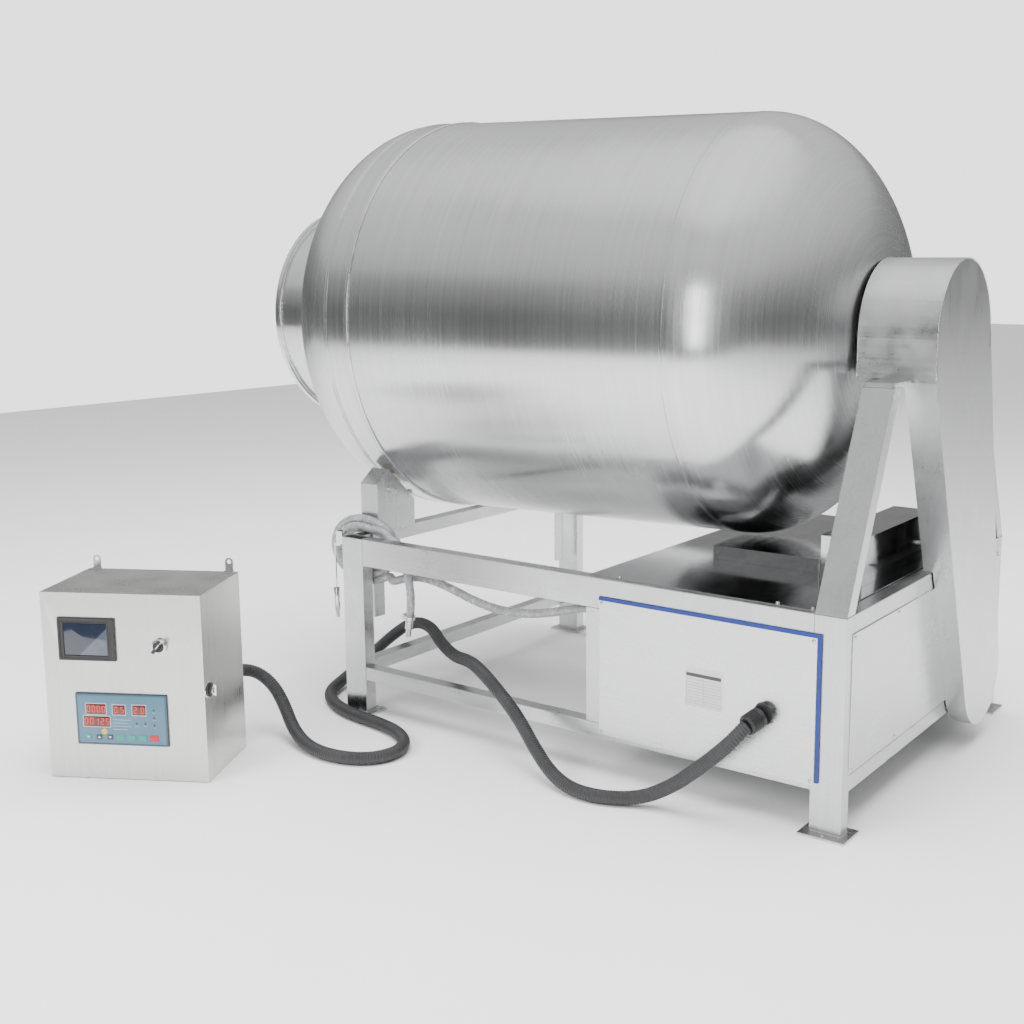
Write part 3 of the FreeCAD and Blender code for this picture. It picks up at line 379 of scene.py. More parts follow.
def turned(name, tone=(0.66, 0.665, 0.67), rough=(0.20, 0.30), line=700.0, aniso=0.7, depth=0.12, centre=AZ, across=1.0):
    """Steel brushed round the drum's axis: fine rings, each a little lighter or darker, and broad soft zones."""
    m, nt, p = shader(name)
    k = Net(nt)
    sep = k.n("ShaderNodeSeparateXYZ")
    k.link(k.coords(), sep.inputs[0])
    x, y, z = sep.outputs
    dz = k.math("SUBTRACT", z, centre)
    rad = k.math("SQRT", k.math("ADD", k.math("MULTIPLY", y, y), k.math("MULTIPLY", dz, dz)))
    s = k.math("SUBTRACT", x, k.math("MULTIPLY", rad, across))
    cb = k.n("ShaderNodeCombineXYZ")
    k.link(k.math("MULTIPLY", s, line), cb.inputs[0])
    k.link(k.math("MULTIPLY", y, 2.2), cb.inputs[1])
    k.link(k.math("MULTIPLY", dz, 2.2), cb.inputs[2])
    fine = k.noise(cb.outputs[0], 1.0, 2.0, 0.65)
    cb2 = k.n("ShaderNodeCombineXYZ")
    k.link(k.math("MULTIPLY", s, line * 0.11), cb2.inputs[0])
    k.link(k.math("MULTIPLY", y, 1.3), cb2.inputs[1])
    k.link(k.math("MULTIPLY", dz, 1.3), cb2.inputs[2])
    mid = k.noise(cb2.outputs[0], 1.0, 3.0, 0.6)
    cb3 = k.n("ShaderNodeCombineXYZ")
    k.link(k.math("MULTIPLY", x, 1.6), cb3.inputs[0])
    k.link(k.math("MULTIPLY", y, 2.4), cb3.inputs[1])
    k.link(k.math("MULTIPLY", dz, 2.4), cb3.inputs[2])
    big = k.noise(cb3.outputs[0], 1.0, 3.0, 0.5)
    lines = k.math("ADD", k.math("MULTIPLY", fine, 0.55), k.math("MULTIPLY", mid, 0.45))
    v = k.math("ADD", k.span(lines, 0.3, 0.7, -0.09, 0.09), k.span(big, 0.3, 0.7, -0.05, 0.05))
    v = k.math("ADD", v, 1.0)
    cv = k.n("ShaderNodeVectorMath", operation="SCALE")
    cv.inputs[0].default_value = tone
    k.link(v, cv.inputs["Scale"])
    k.link(cv.outputs[0], p.inputs["Base Color"])
    r = k.math("ADD", k.span(big, 0.3, 0.7, rough[0], rough[1]), k.span(lines, 0.3, 0.7, -0.04, 0.05))
    k.link(r, p.inputs["Roughness"])
    k.link(k.bump(lines, depth, 0.0004), p.inputs["Normal"])
    p.inputs["Metallic"].default_value = 1.0
    if aniso:
        p.inputs["Anisotropic"].default_value = aniso
        p.inputs["Anisotropic Rotation"].default_value = 0.25
        tg = k.n("ShaderNodeTangent", direction_type="RADIAL", axis="X")
        k.link(tg.outputs[0], p.inputs["Tangent"])
    return m


def plain(name, tone, rough=0.45, metal=0.0, vary=0.10, grain=350.0, depth=0.05, spec=0.5, coat=0.0, alpha=None, wear=None):
    """Plastic, rubber or paint: mottled tone, fine grain and slightly uneven gloss."""
    m, nt, p = shader(name)
    k = Net(nt)
    co = k.coords()
    g = k.noise(k.scaled(co, (grain,) * 3), 1.0, 3.0, 0.6)
    b = k.noise(k.scaled(co, (14.0,) * 3, (3.0, 1.0, 2.0)), 1.0, 4.0, 0.6)
    v = k.math("ADD", k.span(g, 0.3, 0.7, -vary * 0.4, vary * 0.4), k.span(b, 0.3, 0.7, -vary, vary))
    v = k.math("ADD", v, 1.0)
    cv = k.n("ShaderNodeVectorMath", operation="SCALE")
    cv.inputs[0].default_value = tone
    k.link(v, cv.inputs["Scale"])
    k.link(cv.outputs[0], p.inputs["Base Color"])
    k.link(k.span(b, 0.3, 0.7, max(rough - 0.07, 0.02), rough + 0.09), p.inputs["Roughness"])
    k.link(k.bump(g, depth, 0.0003), p.inputs["Normal"])
    p.inputs["Metallic"].default_value = metal
    p.inputs["Specular IOR Level"].default_value = spec
    if coat:
        p.inputs["Coat Weight"].default_value = coat
        p.inputs["Coat Roughness"].default_value = 0.08
    return m


M = {
    "drum": turned("drum_brushed_rings"),
    "drum_band": turned("drum_band_rings", rough=(0.18, 0.26), line=500.0),
    "neck": turned("neck_polished", tone=(0.72, 0.725, 0.73), rough=(0.12, 0.2), line=350.0, aniso=0.5, depth=0.05),
    "frame_x": brushed("tube_brushed_along", (0.62, 0.625, 0.63), "X", (0.24, 0.38), seed=1.0),
    "frame_y": brushed("tube_brushed_across", (0.60, 0.605, 0.61), "Y", (0.24, 0.38), seed=2.0),
    "frame_z": brushed("tube_brushed_upright", (0.60, 0.605, 0.61), "Z", (0.22, 0.36), seed=3.0),
    "panel": brushed("panel_satin", (0.70, 0.705, 0.71), "X", (0.22, 0.30), line=700.0, blotch=0.06, depth=0.06, seed=4.0),
    "side": brushed("side_panel_satin", (0.62, 0.625, 0.63), "Y", (0.18, 0.28), line=700.0, blotch=0.10, depth=0.05, seed=5.0),
    "deck": brushed("deck_mirror", (0.52, 0.525, 0.53), "Y", (0.07, 0.16), line=500.0, blotch=0.15, depth=0.03, seed=6.0),
    "guard": brushed("guard_brushed", (0.66, 0.665, 0.67), "Z", (0.26, 0.36), line=600.0, blotch=0.08, depth=0.06, seed=7.0),
    "cover": brushed("cover_mottled", (0.60, 0.605, 0.61), "X", (0.22, 0.40), line=500.0, blotch=0.30, depth=0.08, seed=8.0),
    "box": brushed("box_warm_brushed", (0.66, 0.655, 0.64), "Z", (0.26, 0.36), line=800.0, blotch=0.05, depth=0.06, seed=9.0),
    "machined": brushed("machined_steel", (0.58, 0.58, 0.58), "N", (0.22, 0.34), blotch=0.15, seed=10.0),
    "bright": brushed("bright_steel", (0.74, 0.74, 0.75), "N", (0.10, 0.18), blotch=0.08, depth=0.03, seed=11.0),
    "iron": plain("drive_iron", (0.16, 0.16, 0.165), 0.42, 0.8, 0.25, 300.0, 0.25),
    "paint": plain("motor_paint", (0.10, 0.17, 0.24), 0.40, 0.0, 0.12, 260.0, 0.18, coat=0.2),
    "pump": plain("pump_paint", (0.20, 0.22, 0.24), 0.45, 0.1, 0.15, 260.0, 0.20),
    "blue": plain("blue_rubber", (0.004, 0.024, 0.19), 0.38, 0.0, 0.12, 220.0, 0.10),
    "white_rubber": plain("white_rubber", (0.74, 0.73, 0.70), 0.5, 0.0, 0.06, 220.0, 0.10),
    "nylon": plain("roller_nylon", (0.72, 0.71, 0.67), 0.42, 0.0, 0.08, 240.0, 0.10),
    "black": plain("black_plastic", (0.018, 0.018, 0.019), 0.34, 0.0, 0.15, 420.0, 0.12),
    "conduit": plain("conduit_plastic", (0.030, 0.030, 0.032), 0.42, 0.0, 0.20, 300.0, 0.12),
    "electrics": plain("electrics_grey", (0.42, 0.43, 0.42), 0.5, 0.0, 0.08, 300.0, 0.08),
}

PAINT = {
    "frame_legs": "frame_z", "foot_plates": "machined", "long_rails": "frame_x", "end_rails": "frame_y", "housing_posts": "frame_z",
    "front_panel": "panel", "panel_seal": "blue", "side_panels": "side", "floor_pan": "panel", "deck_plate": "deck", "deck_covers": "deck",
    "panel_screws": "bright", "rating_plate": "bright", "drive_stand": "frame_z", "shaft_bearing": "iron", "chain_guard": "guard",
    "shaft_cover": "cover", "roller_axles": "bright", "roller_brackets": "frame_z", "drive_chain": "iron", "gearmotor": "paint",
    "vacuum_pump": "pump", "box_shell": "box", "box_hinges": "machined", "box_electrics": "electrics", "box_lugs": "machined",
    "box_gland": "black", "conduit": "conduit", "conduit_gland": "black", "vacuum_hose": "conduit", "vacuum_hose_coil": "conduit",
    "vacuum_hose_tail": "conduit", "hose_port": "bright", "hose_fittings": "bright", "hose_hook": "bright",
    "drum_shell": "drum", "running_band": "drum_band", "drum_head_rear": "drum", "drum_head_front": "drum", "drum_neck": "neck",
    "drum_baffles": "drum", "drum_shaft": "machined", "lid_hinge": "machined", "lid": "neck", "lid_handle": "bright", "lid_seal": "white_rubber",
    "hinge_arm": "machined", "vacuum_valve": "bright", "lid_catch": "bright", "valve_lever": "bright",
    "support_roller_front": "nylon", "support_roller_rear": "nylon", "drive_sprocket": "iron", "box_door": "box", "hmi_panel": "black",
    "controller_panel": "black", "selector_ring": "bright", "door_lock": "black", "selector_knob": "black", "lock_key": "bright",
}
for name, ob in NODES.items():
    mat = M[PAINT.get(name, "machined")]
    for s in ob.material_slots:
        s.material = mat

# ------------------------------------------------------------------ cords
CONDUIT = [
    (0.580, -0.619, 0.252), (0.566, -0.646, 0.229), (0.534, -0.656, 0.192), (0.468, -0.652, 0.131), (0.394, -0.645, 0.068),
    (0.316, -0.660, 0.024), (0.232, -0.702, 0.019), (0.140, -0.708, 0.019), (0.058, -0.684, 0.034),
    (-0.018, -0.655, 0.078), (-0.093, -0.628, 0.140), (-0.188, -0.598, 0.191), (-0.282, -0.560, 0.222),
    (-0.372, -0.500, 0.214), (-0.480, -0.430, 0.187), (-0.590, -0.365, 0.192), (-0.690, -0.300, 0.217),
    (-0.800, -0.262, 0.206), (-0.888, -0.276, 0.142), (-0.940, -0.334, 0.072), (-0.960, -0.418, 0.024),
    (-0.930, -0.500, 0.019), (-0.868, -0.560, 0.019), (-0.780, -0.602, 0.019), (-0.684, -0.622, 0.019),
    (-0.590, -0.630, 0.019), (-0.505, -0.652, 0.019), (-0.436, -0.696, 0.019), (-0.400, -0.760, 0.019),
    (-0.416, -0.828, 0.019), (-0.474, -0.872, 0.019), (-0.552, -0.886, 0.019), (-0.640, -0.872, 0.021),
    (-0.722, -0.842, 0.042), (-0.784, -0.814, 0.088), (-0.836, -0.806, 0.138), (-0.884, -0.824, 0.174),
    (-0.905, -0.872, 0.189), (-0.8944, -0.9268, 0.190),
]
line = smooth_line(CONDUIT, "conduit_line")
pts, conduit_len = resample(line, 0.00125)
RIB = 0.0075


def conduit_radius(s, a):
    f = (s % RIB) / RIB
    up = min(1.0, max(0.0, (0.5 - abs(f - 0.5)) * 2 * 1.9 - 0.35))
    return 0.0162 + 0.0018 * up


conduit = tube("conduit_tube", pts, conduit_radius, 22, [M["conduit"]])
put(conduit, "root", "conduit_plastic", "conduit")

HOSE_RUN = [
    (0.0700, -0.4900, 0.4300), (0.0400, -0.4905, 0.4290), (-0.0200, -0.4930, 0.4140), (-0.1000, -0.4970, 0.3920),
    (-0.1860, -0.4975, 0.3780), (-0.2700, -0.4970, 0.3770), (-0.3500, -0.4940, 0.3890), (-0.4300, -0.4890, 0.4080),
    (-0.5020, -0.4840, 0.4220), (-0.5640, -0.4805, 0.4250), (-0.6200, -0.4830, 0.4150), (-0.6700, -0.4890, 0.3960),
]
HOSE_TAIL = [
    (-0.6370, -0.5000, 0.5280), (-0.6190, -0.5035, 0.4990), (-0.5980, -0.5070, 0.4620), (-0.5820, -0.5090, 0.4200),
    (-0.5770, -0.5080, 0.3720), (-0.5820, -0.5050, 0.3300), (-0.5890, -0.5030, 0.2960),
]
turns = []
steps = 14
first, last = -46.0, -1062.0
total = int(abs(last - first) / (360.0 / steps))


def ease(x, a, b):
    x = min(1.0, max(0.0, (x - a) / (b - a)))
    return x * x * (3 - 2 * x)


# three turns wound inwards, each lying against the last, then across in front to the tail
for i in range(total + 1):
    swept = (first - last) * i / total
    a = math.radians(first - swept)
    inward = min(swept, 720.0) / 720.0
    back = ease(swept, 950.0, 1016.0)
    hx_ = 0.135 - 0.044 * inward * (1 - back)
    hz_ = 0.103 - 0.043 * inward * (1 - back)
    x_, z_ = -0.771 + hx_ * math.cos(a), 0.489 + hz_ * math.sin(a)
    side = -0.4915 - 0.0115 * (ease(swept, 300.0, 400.0) - ease(swept, 660.0, 760.0))
    bulge = ease(x_, -0.7245, -0.698) * (1 - ease(swept, 760.0, 860.0))
    side += (-0.480 - side) * bulge
    side += (-0.503 - side) * back
    turns.append((x_, side, z_))
HOSE_ALL = HOSE_RUN + turns + HOSE_TAIL
line = smooth_line(HOSE_ALL, "hose_line")
hpts, hose_len = resample(line, 0.003)
print("hose length", hose_len, "conduit", conduit_len)


def hose_radius(s, a):
    return 0.0121 + 0.00025 * max(0.0, math.cos(2 * math.pi * s / 0.0085 - a)) ** 3


m, nt, p = shader("hose_clear_pvc")
k = Net(nt)
co = k.coords()
g = k.noise(k.scaled(co, (60.0,) * 3), 1.0, 3.0, 0.6)
k.link(k.ramp(g, [(0.3, (0.30, 0.31, 0.32)), (0.7, (0.50, 0.51, 0.52))]), p.inputs["Base Color"])
k.link(k.span(g, 0.3, 0.7, 0.16, 0.32), p.inputs["Roughness"])
p.inputs["Transmission Weight"].default_value = 0.35
p.inputs["IOR"].default_value = 1.5
p.inputs["Coat Weight"].default_value = 0.4
M["hose"] = m
hose = tube("vacuum_hose_line", hpts, hose_radius, 18, [M["hose"]])
put(hose, "root", "hose_plastic", "vacuum_hose", "vacuum_hose_coil", "vacuum_hose_tail")

# ------------------------------------------------------------------ softened edges on the carried-over steel


def soften(node, width, seg=2, angle=38.0):
    ob = NODES.get(node)
    if ob is None:
        return
    w = ob.modifiers.new("join", "WELD")
    w.merge_threshold = 0.00002
    v = ob.modifiers.new("edge", "BEVEL")
    v.width = width
    v.segments = seg
    v.limit_method = "ANGLE"
    v.angle_limit = math.radians(angle)
    v.harden_normals = True
    v.use_clamp_overlap = True


for node, width in (("frame_legs", 0.0035), ("long_rails", 0.0035), ("end_rails", 0.0030), ("housing_posts", 0.0030), ("drive_stand", 0.0035),
                    ("foot_plates", 0.0010), ("front_panel", 0.0008), ("side_panels", 0.0008), ("panel_seal", 0.0008), ("deck_plate", 0.0006),
                    ("deck_covers", 0.0020), ("roller_brackets", 0.0015), ("gearmotor", 0.0020), ("vacuum_pump", 0.0020),
                    ("box_shell", 0.0025), ("box_door", 0.0025), ("box_electrics", 0.0010), ("box_lugs", 0.0005), ("hmi_panel", 0.0016),
                    ("controller_panel", 0.0014), ("selector_knob", 0.0010), ("lid_handle", 0.0012), ("hinge_arm", 0.0012),
                    ("lid_catch", 0.0010), ("valve_lever", 0.0008), ("hose_hook", 0.0006), ("shaft_bearing", 0.0020), ("drum_baffles", 0.0010)):
    soften(node, width)

# ------------------------------------------------------------------ more finishes
M["bead"] = brushed("weld_bead", (0.80, 0.80, 0.81), "N", (0.16, 0.30), blotch=0.25, depth=0.25, seed=12.0)
M["bead_dull"] = brushed("weld_bead_dull", (0.52, 0.52, 0.53), "N", (0.24, 0.38), blotch=0.25, depth=0.25, seed=13.0)
M["membrane"] = plain("membrane_blue_grey", (0.075, 0.165, 0.235), 0.36, 0.0, 0.06, 260.0, 0.05, coat=0.25)
M["membrane_edge"] = plain("membrane_border", (0.030, 0.075, 0.115), 0.36, 0.0, 0.06, 260.0, 0.05, coat=0.25)
M["frame_pale"] = plain("window_frame_pale", (0.42, 0.50, 0.55), 0.4, 0.0, 0.05, 260.0, 0.04)
M["window_red"] = plain("window_dark_red", (0.105, 0.006, 0.008), 0.18, 0.0, 0.10, 200.0, 0.03, coat=0.6)
M["teal"] = plain("key_teal", (0.015, 0.26, 0.21), 0.34, 0.0, 0.08, 260.0, 0.05, coat=0.3)
M["key_dark"] = plain("key_dark", (0.020, 0.045, 0.075), 0.34, 0.0, 0.08, 260.0, 0.05, coat=0.3)
M["key_red"] = plain("key_red", (0.42, 0.014, 0.030), 0.34, 0.0, 0.08, 260.0, 0.05, coat=0.3)
M["lamp"] = plain("lamp_yellow", (0.66, 0.42, 0.03), 0.25, 0.0, 0.08, 260.0, 0.03, coat=0.5)
M["mark"] = plain("mark_white", (0.78, 0.78, 0.77), 0.4, 0.0, 0.04, 260.0, 0.03)
M["print"] = plain("print_grey", (0.055, 0.055, 0.058), 0.5, 0.0, 0.10, 400.0, 0.03)
M["print_soft"] = plain("print_soft_grey", (0.30, 0.30, 0.31), 0.5, 0.0, 0.10, 400.0, 0.03)
M["label"] = plain("label_silver", (0.62, 0.62, 0.62), 0.30, 0.35, 0.05, 300.0, 0.03)

m, nt, p = shader("digit_glow")
k = Net(nt)
g = k.noise(k.scaled(k.coords(), (900.0,) * 3), 1.0, 2.0, 0.5)
k.link(k.ramp(g, [(0.35, (0.55, 0.02, 0.012)), (0.65, (0.85, 0.07, 0.03))]), p.inputs["Base Color"])
p.inputs["Emission Color"].default_value = (0.9, 0.03, 0.015, 1)
p.inputs["Emission Strength"].default_value = 0.22
p.inputs["Roughness"].default_value = 0.4
M["digit"] = m

# touch-panel glass with a painted reflection: the dark glass is lighter on one side of a slanted line across its face
m, nt, p = shader("screen_glass_painted_reflection")
k = Net(nt)
co = k.coords()
sep = k.n("ShaderNodeSeparateXYZ")
k.link(co, sep.inputs[0])
across = k.math("ADD", k.math("MULTIPLY", k.math("ADD", sep.outputs[0], 1.0574), 0.8774), k.math("MULTIPLY", k.math("ADD", sep.outputs[1], 1.3668), 0.4797))
reflection_slant = k.math("SUBTRACT", across, k.math("MULTIPLY", sep.outputs[2], 1.05))
# step is the mask of the painted reflection; the lighter colour it mixes in is a painted glare on the glass, the darker
# one is the glass itself
step = k.span(reflection_slant, -0.252, -0.249)
soft_ = k.noise(k.scaled(co, (25.0,) * 3), 1.0, 3.0, 0.6)
low = k.ramp(soft_, [(0.3, (0.010, 0.015, 0.028)), (0.7, (0.016, 0.022, 0.038))])
painted_reflection_tone = k.ramp(soft_, [(0.3, (0.050, 0.062, 0.085)), (0.7, (0.075, 0.090, 0.118))])
k.link(k.mix(step, low, painted_reflection_tone), p.inputs["Base Color"])
k.link(k.span(soft_, 0.3, 0.7, 0.06, 0.12), p.inputs["Roughness"])
p.inputs["Coat Weight"].default_value = 0.7
p.inputs["Coat Roughness"].default_value = 0.04
M["screen"] = m

# ------------------------------------------------------------------ control box face
BO = Vector((-1.0574, -1.3668, 0.0))
BU, BV, BZ = Vector((0.8774, 0.4797, 0)), Vector((-0.4797, 0.8774, 0)), Vector((0, 0, 1))
BN = -BV


def bx(u, v, z):
    """Point of the box from millimetres across, in depth and up."""
    return BO + BU * (u / 1000) + BV * (v / 1000) + BZ * (z / 1000)


def plate(build, u0, u1, z0, z1, v, h, r=1.0, bev=0.25, mat=0):
    w, t = (u1 - u0) / 1000, (z1 - z0) / 1000
    build.prism(bx((u0 + u1) / 2, v, (z0 + z1) / 2), BU, BZ, BN, rounded(w, t, r / 1000, 4), h / 1000, bev / 1000, mat)


def ring_plate(build, u0, u1, z0, z1, v, h, wide, r=1.0, mat=0):
    """A raised frame round a window."""
    c = bx((u0 + u1) / 2, v, (z0 + z1) / 2)
    w, t = (u1 - u0) / 1000, (z1 - z0) / 1000
    outer, inner = rounded(w, t, r / 1000, 4), rounded(w - 2 * wide / 1000, t - 2 * wide / 1000, max(r - wide * 0.5, 0.3) / 1000, 4)
    rr = []
    for pts_, hh in ((outer, 0.0), (outer, h * 0.75), (rounded(w - 0.0006, t - 0.0006, r / 1000, 4), h), (rounded(w - 2 * wide / 1000 + 0.0006, t - 2 * wide / 1000 + 0.0006, max(r - wide * 0.5, 0.3) / 1000, 4), h), (inner, h * 0.75), (inner, 0.0)):
        rr.append([c + BU * a + BZ * b_ + BN * (hh / 1000) for a, b_ in pts_])
    build.rings(rr, True, False, False, mat)


# touch panel: stepped bezel and glass
b = Build()
ring_plate(b, 45.0, 195.0, 320.0, 431.0, -5.9, 1.6, 6.0, 4.0)
ring_plate(b, 56.5, 179.5, 329.5, 421.5, -5.9, 0.9, 3.2, 2.0)
put(b.make("hmi_bezel", [M["black"]]), "box_door", "black_plastic")
b = Build()
plate(b, 61.0, 175.0, 334.0, 417.0, -3.9, 1.2, 1.5, 0.2)
put(b.make("hmi_glass", [M["screen"]]), "box_door", "screen")

# controller face
U0, U1, Z0, Z1 = 80.0, 324.0, 95.0, 233.0


def fu(f):
    return U0 + (U1 - U0) * f


def fz(f):
    return Z1 - (Z1 - Z0) * f


b = Build()
ring_plate(b, U0 + 0.6, U1 - 0.6, Z0 + 0.6, Z1 - 0.6, -5.0, 1.1, 5.0, 5.0)
put(b.make("controller_border", [M["membrane_edge"]]), "box_door", "membrane")
b = Build()
plate(b, U0 + 4.5, U1 - 4.5, Z0 + 4.5, Z1 - 4.5, -4.9, 0.8, 4.0, 0.2)
put(b.make("controller_membrane", [M["membrane"]]), "box_door", "membrane")
wins = [(0.113, 0.333, 0.199, 0.407, 4), (0.405, 0.545, 0.210, 0.402, 2), (0.620, 0.770, 0.204, 0.402, 2), (0.081, 0.372, 0.440, 0.645, 5)]
bf, bw, bd = Build(), Build(), Build()
SEG = {"0": "abcdef", "1": "bc", "2": "abged", "5": "afgcd", "8": "abcdefg"}


def digit(build, uc, zc, h, ch, v):
    w, t = h * 0.52, h * 0.11
    x0, x1, z1_, zm, z0_ = uc - w / 2, uc + w / 2, zc + h / 2, zc, zc - h / 2
    g = 0.25
    parts = {"a": (x0 + g + t / 2, x1 - g - t / 2, z1_ - t, z1_), "g": (x0 + g + t / 2, x1 - g - t / 2, zm - t / 2, zm + t / 2), "d": (x0 + g + t / 2, x1 - g - t / 2, z0_, z0_ + t),
             "f": (x0, x0 + t, zm + g, z1_ - g), "b": (x1 - t, x1, zm + g, z1_ - g), "e": (x0, x0 + t, z0_ + g, zm - g), "c": (x1 - t, x1, z0_ + g, zm - g)}
    for q in SEG[ch]:
        a, c, d, e = parts[q]
        plate(build, a, c, d, e, v, 0.12, t * 0.35, 0.03)


for (a0, a1, c0, c1, n), text in zip(wins, ("0000", "05", "20", "00125")):
    u0, u1, z1_, z0_ = fu(a0), fu(a1), fz(c0), fz(c1)
    ring_plate(bf, u0 - 1.6, u1 + 1.6, z0_ - 1.6, z1_ + 1.6, -5.65, 0.9, 1.8, 1.2)
    plate(bw, u0, u1, z0_, z1_, -5.6, 0.45, 0.8, 0.1)
    hgt = (z1_ - z0_) * 0.62
    for i, ch in enumerate(text):
        digit(bd, u0 + (u1 - u0) * (i + 0.5) / n, (z0_ + z1_) / 2, hgt, ch, -6.02)
put(bf.make("display_frames", [M["frame_pale"]]), "box_door", "membrane")
put(bw.make("display_windows", [M["window_red"]]), "box_door", "membrane")
put(bd.make("display_digits", [M["digit"]]), "box_door", "membrane")


def keys(name, items, mat):
    q = Build()
    for f_, g_, w, h in items:
        plate(q, fu(f_) - w / 2, fu(f_) + w / 2, fz(g_) - h / 2, fz(g_) + h / 2, -5.6, 1.3, 1.8, 0.5)
    return put(q.make(name, [M[mat]]), "box_door", "membrane")


keys("keys_teal", [(0.126, 0.845, 14.0, 13.0), (0.481, 0.845, 20.0, 15.5), (0.601, 0.848, 20.0, 15.5), (0.722, 0.850, 20.0, 15.5)], "teal")
keys("keys_dark", [(0.243, 0.846, 15.0, 13.0), (0.362, 0.842, 15.0, 13.0)], "key_dark")
keys("key_stop", [(0.847, 0.843, 24.0, 16.5)], "key_red")
b = Build()
for f_, g_, up in ((0.243, 0.846, 1), (0.362, 0.842, -1)):
    c = bx(fu(f_), -6.85, fz(g_))
    tri = [(-0.0038, -0.0022 * up), (0.0038, -0.0022 * up), (0.0, 0.0036 * up)]
    b.prism(c, BU, BZ, BN, tri if up > 0 else tri[::-1], 0.00025, 0.0, 0)
plate(b, fu(0.126) - 3.4, fu(0.126) + 3.4, fz(0.845) - 0.8, fz(0.845) + 0.8, -6.85, 0.2, 0.3, 0.05)
put(b.make("key_marks", [M["mark"]]), "box_door", "membrane")
b = Build()
b.lathe(bx(fu(0.303), -5.6, fz(0.735)), BN, [(0.0, 0.0078), (0.0010, 0.0078), (0.0018, 0.0066), (0.0022, 0.0040), (0.0023, 0.0)], 28, 0, True, False)
put(b.make("lamp_run", [M["lamp"]]), "box_door", "membrane")
b = Build()
for f_, g_ in ((0.856, 0.295), (0.856, 0.437), (0.856, 0.585), (0.663, 0.56), (0.757, 0.56)):
    b.lathe(bx(fu(f_), -5.6, fz(g_)), BN, [(0.0, 0.0030), (0.0007, 0.0030), (0.0012, 0.0022), (0.0014, 0.0)], 16, 0, True, False)
put(b.make("indicator_lamps", [M["key_dark"]]), "box_door", "membrane")
b = Build()
for f_, g_ in ((0.856, 0.295), (0.856, 0.437), (0.856, 0.585), (0.663, 0.56), (0.757, 0.56)):
    plate(b, fu(f_) - 4.4, fu(f_) + 4.4, fz(g_) - 7.4, fz(g_) - 6.4, -5.65, 0.12, 0.3, 0.02)
for i in range(4):
    plate(b, fu(0.40), fu(0.60) - (i % 2) * 9.0, fz(0.50 + 0.062 * i) - 0.5, fz(0.50 + 0.062 * i) + 0.5, -5.65, 0.12, 0.3, 0.02)
put(b.make("membrane_rules", [M["frame_pale"]]), "box_door", "membrane")

# selector: pointer line and a grooved collar
sd = BU * math.sin(math.radians(40)) + BZ * math.cos(math.radians(40))
sp_ = BU * math.cos(math.radians(40)) - BZ * math.sin(math.radians(40))
b = Build()
b.prism(bx(313, -27.0, 363) + sd * 0.0065, sp_, sd, BN, rounded(0.0020, 0.0150, 0.0008, 3), 0.0004, 0.0, 0)
b.prism(bx(313, -27.0, 363) + sd * 0.0158, sp_, BN, sd, rounded(0.0020, 0.010, 0.0008, 3, 0.0, -0.006), 0.0004, 0.0, 0)
put(b.make("selector_pointer", [M["mark"]]), "selector", "white_seal")
b = Build()
b.lathe(bx(313, -5.0, 363), BN, [(0.0, 0.0150), (0.0, 0.0186), (0.0022, 0.0190), (0.0040, 0.0184), (0.0052, 0.0172), (0.0056, 0.0148), (0.0, 0.0148)], 40, 0, False, False)
put(b.make("selector_collar", [M["bright"]]), "box_door", "bright_metal")
b = Build()
b.lathe(bx(424, 20, 245), BU, [(0.0, 0.0185), (0.0, 0.0212), (0.0016, 0.0214), (0.0030, 0.0204), (0.0034, 0.0185)], 40, 0, False, False)
b.lathe(bx(440, 20, 245), BU, [(0.0, 0.0088), (0.0, 0.0128), (0.0008, 0.0129), (0.0014, 0.0122), (0.0016, 0.0088)], 36, 0, False, False)
put(b.make("lock_collar", [M["bright"]]), "box_door", "bright_metal")

# ------------------------------------------------------------------ rating plate: blank, with ruled rows
b = Build()
PX, PY, PZ = Vector((1, 0, 0)), Vector((0, 0, 1)), Vector((0, -1, 0))


def on_plate(build, x0, x1, z0, z1, h=0.00018, mat=0, r=0.0004):
    build.prism(Vector(((x0 + x1) / 2000, -0.5618, (z0 + z1) / 2000)), PX, PY, PZ, rounded((x1 - x0) / 1000, (z1 - z0) / 1000, r, 2), h, 0.0, mat)


on_plate(b, 378.5, 481.5, 248.5, 345.5, 0.0001, 0, 0.002)
on_plate(b, 381, 479, 325, 334, 0.0002, 1)
for i in range(9):
    z = 318 - 7.6 * i
    on_plate(b, 382, 478 if i % 3 else 470, z - 0.55, z + 0.55, 0.0002, 2)
for x in (381.5, 430.0, 478.5):
    on_plate(b, x - 0.4, x + 0.4, 252, 321, 0.0002, 2)
plate_ob = put(b.make("rating_plate_print", [M["label"], M["print"], M["print_soft"]]), "root", "plate_label")

# ------------------------------------------------------------------ screws with cross recesses in place of the plain heads


def islands(ob):
    """Connected groups of a node's points, as boxes."""
    me = ob.data
    key = {}
    ids = []
    for v in me.vertices:
        q = (round(v.co.x, 5), round(v.co.y, 5), round(v.co.z, 5))
        ids.append(key.setdefault(q, len(key)))
    par = list(range(len(key)))

    def find(i):
        while par[i] != i:
            par[i] = par[par[i]]
            i = par[i]
        return i
    for e in me.edges:
        a_, b_ = find(ids[e.vertices[0]]), find(ids[e.vertices[1]])
        if a_ != b_:
            par[a_] = b_
    boxes = {}
    for v, i in zip(me.vertices, ids):
        r = find(i)
        lo, hi = boxes.setdefault(r, ([9e9] * 3, [-9e9] * 3))
        for j in range(3):
            lo[j], hi[j] = min(lo[j], v.co[j]), max(hi[j], v.co[j])
    return sorted((tuple(lo), tuple(hi)) for lo, hi in boxes.values())


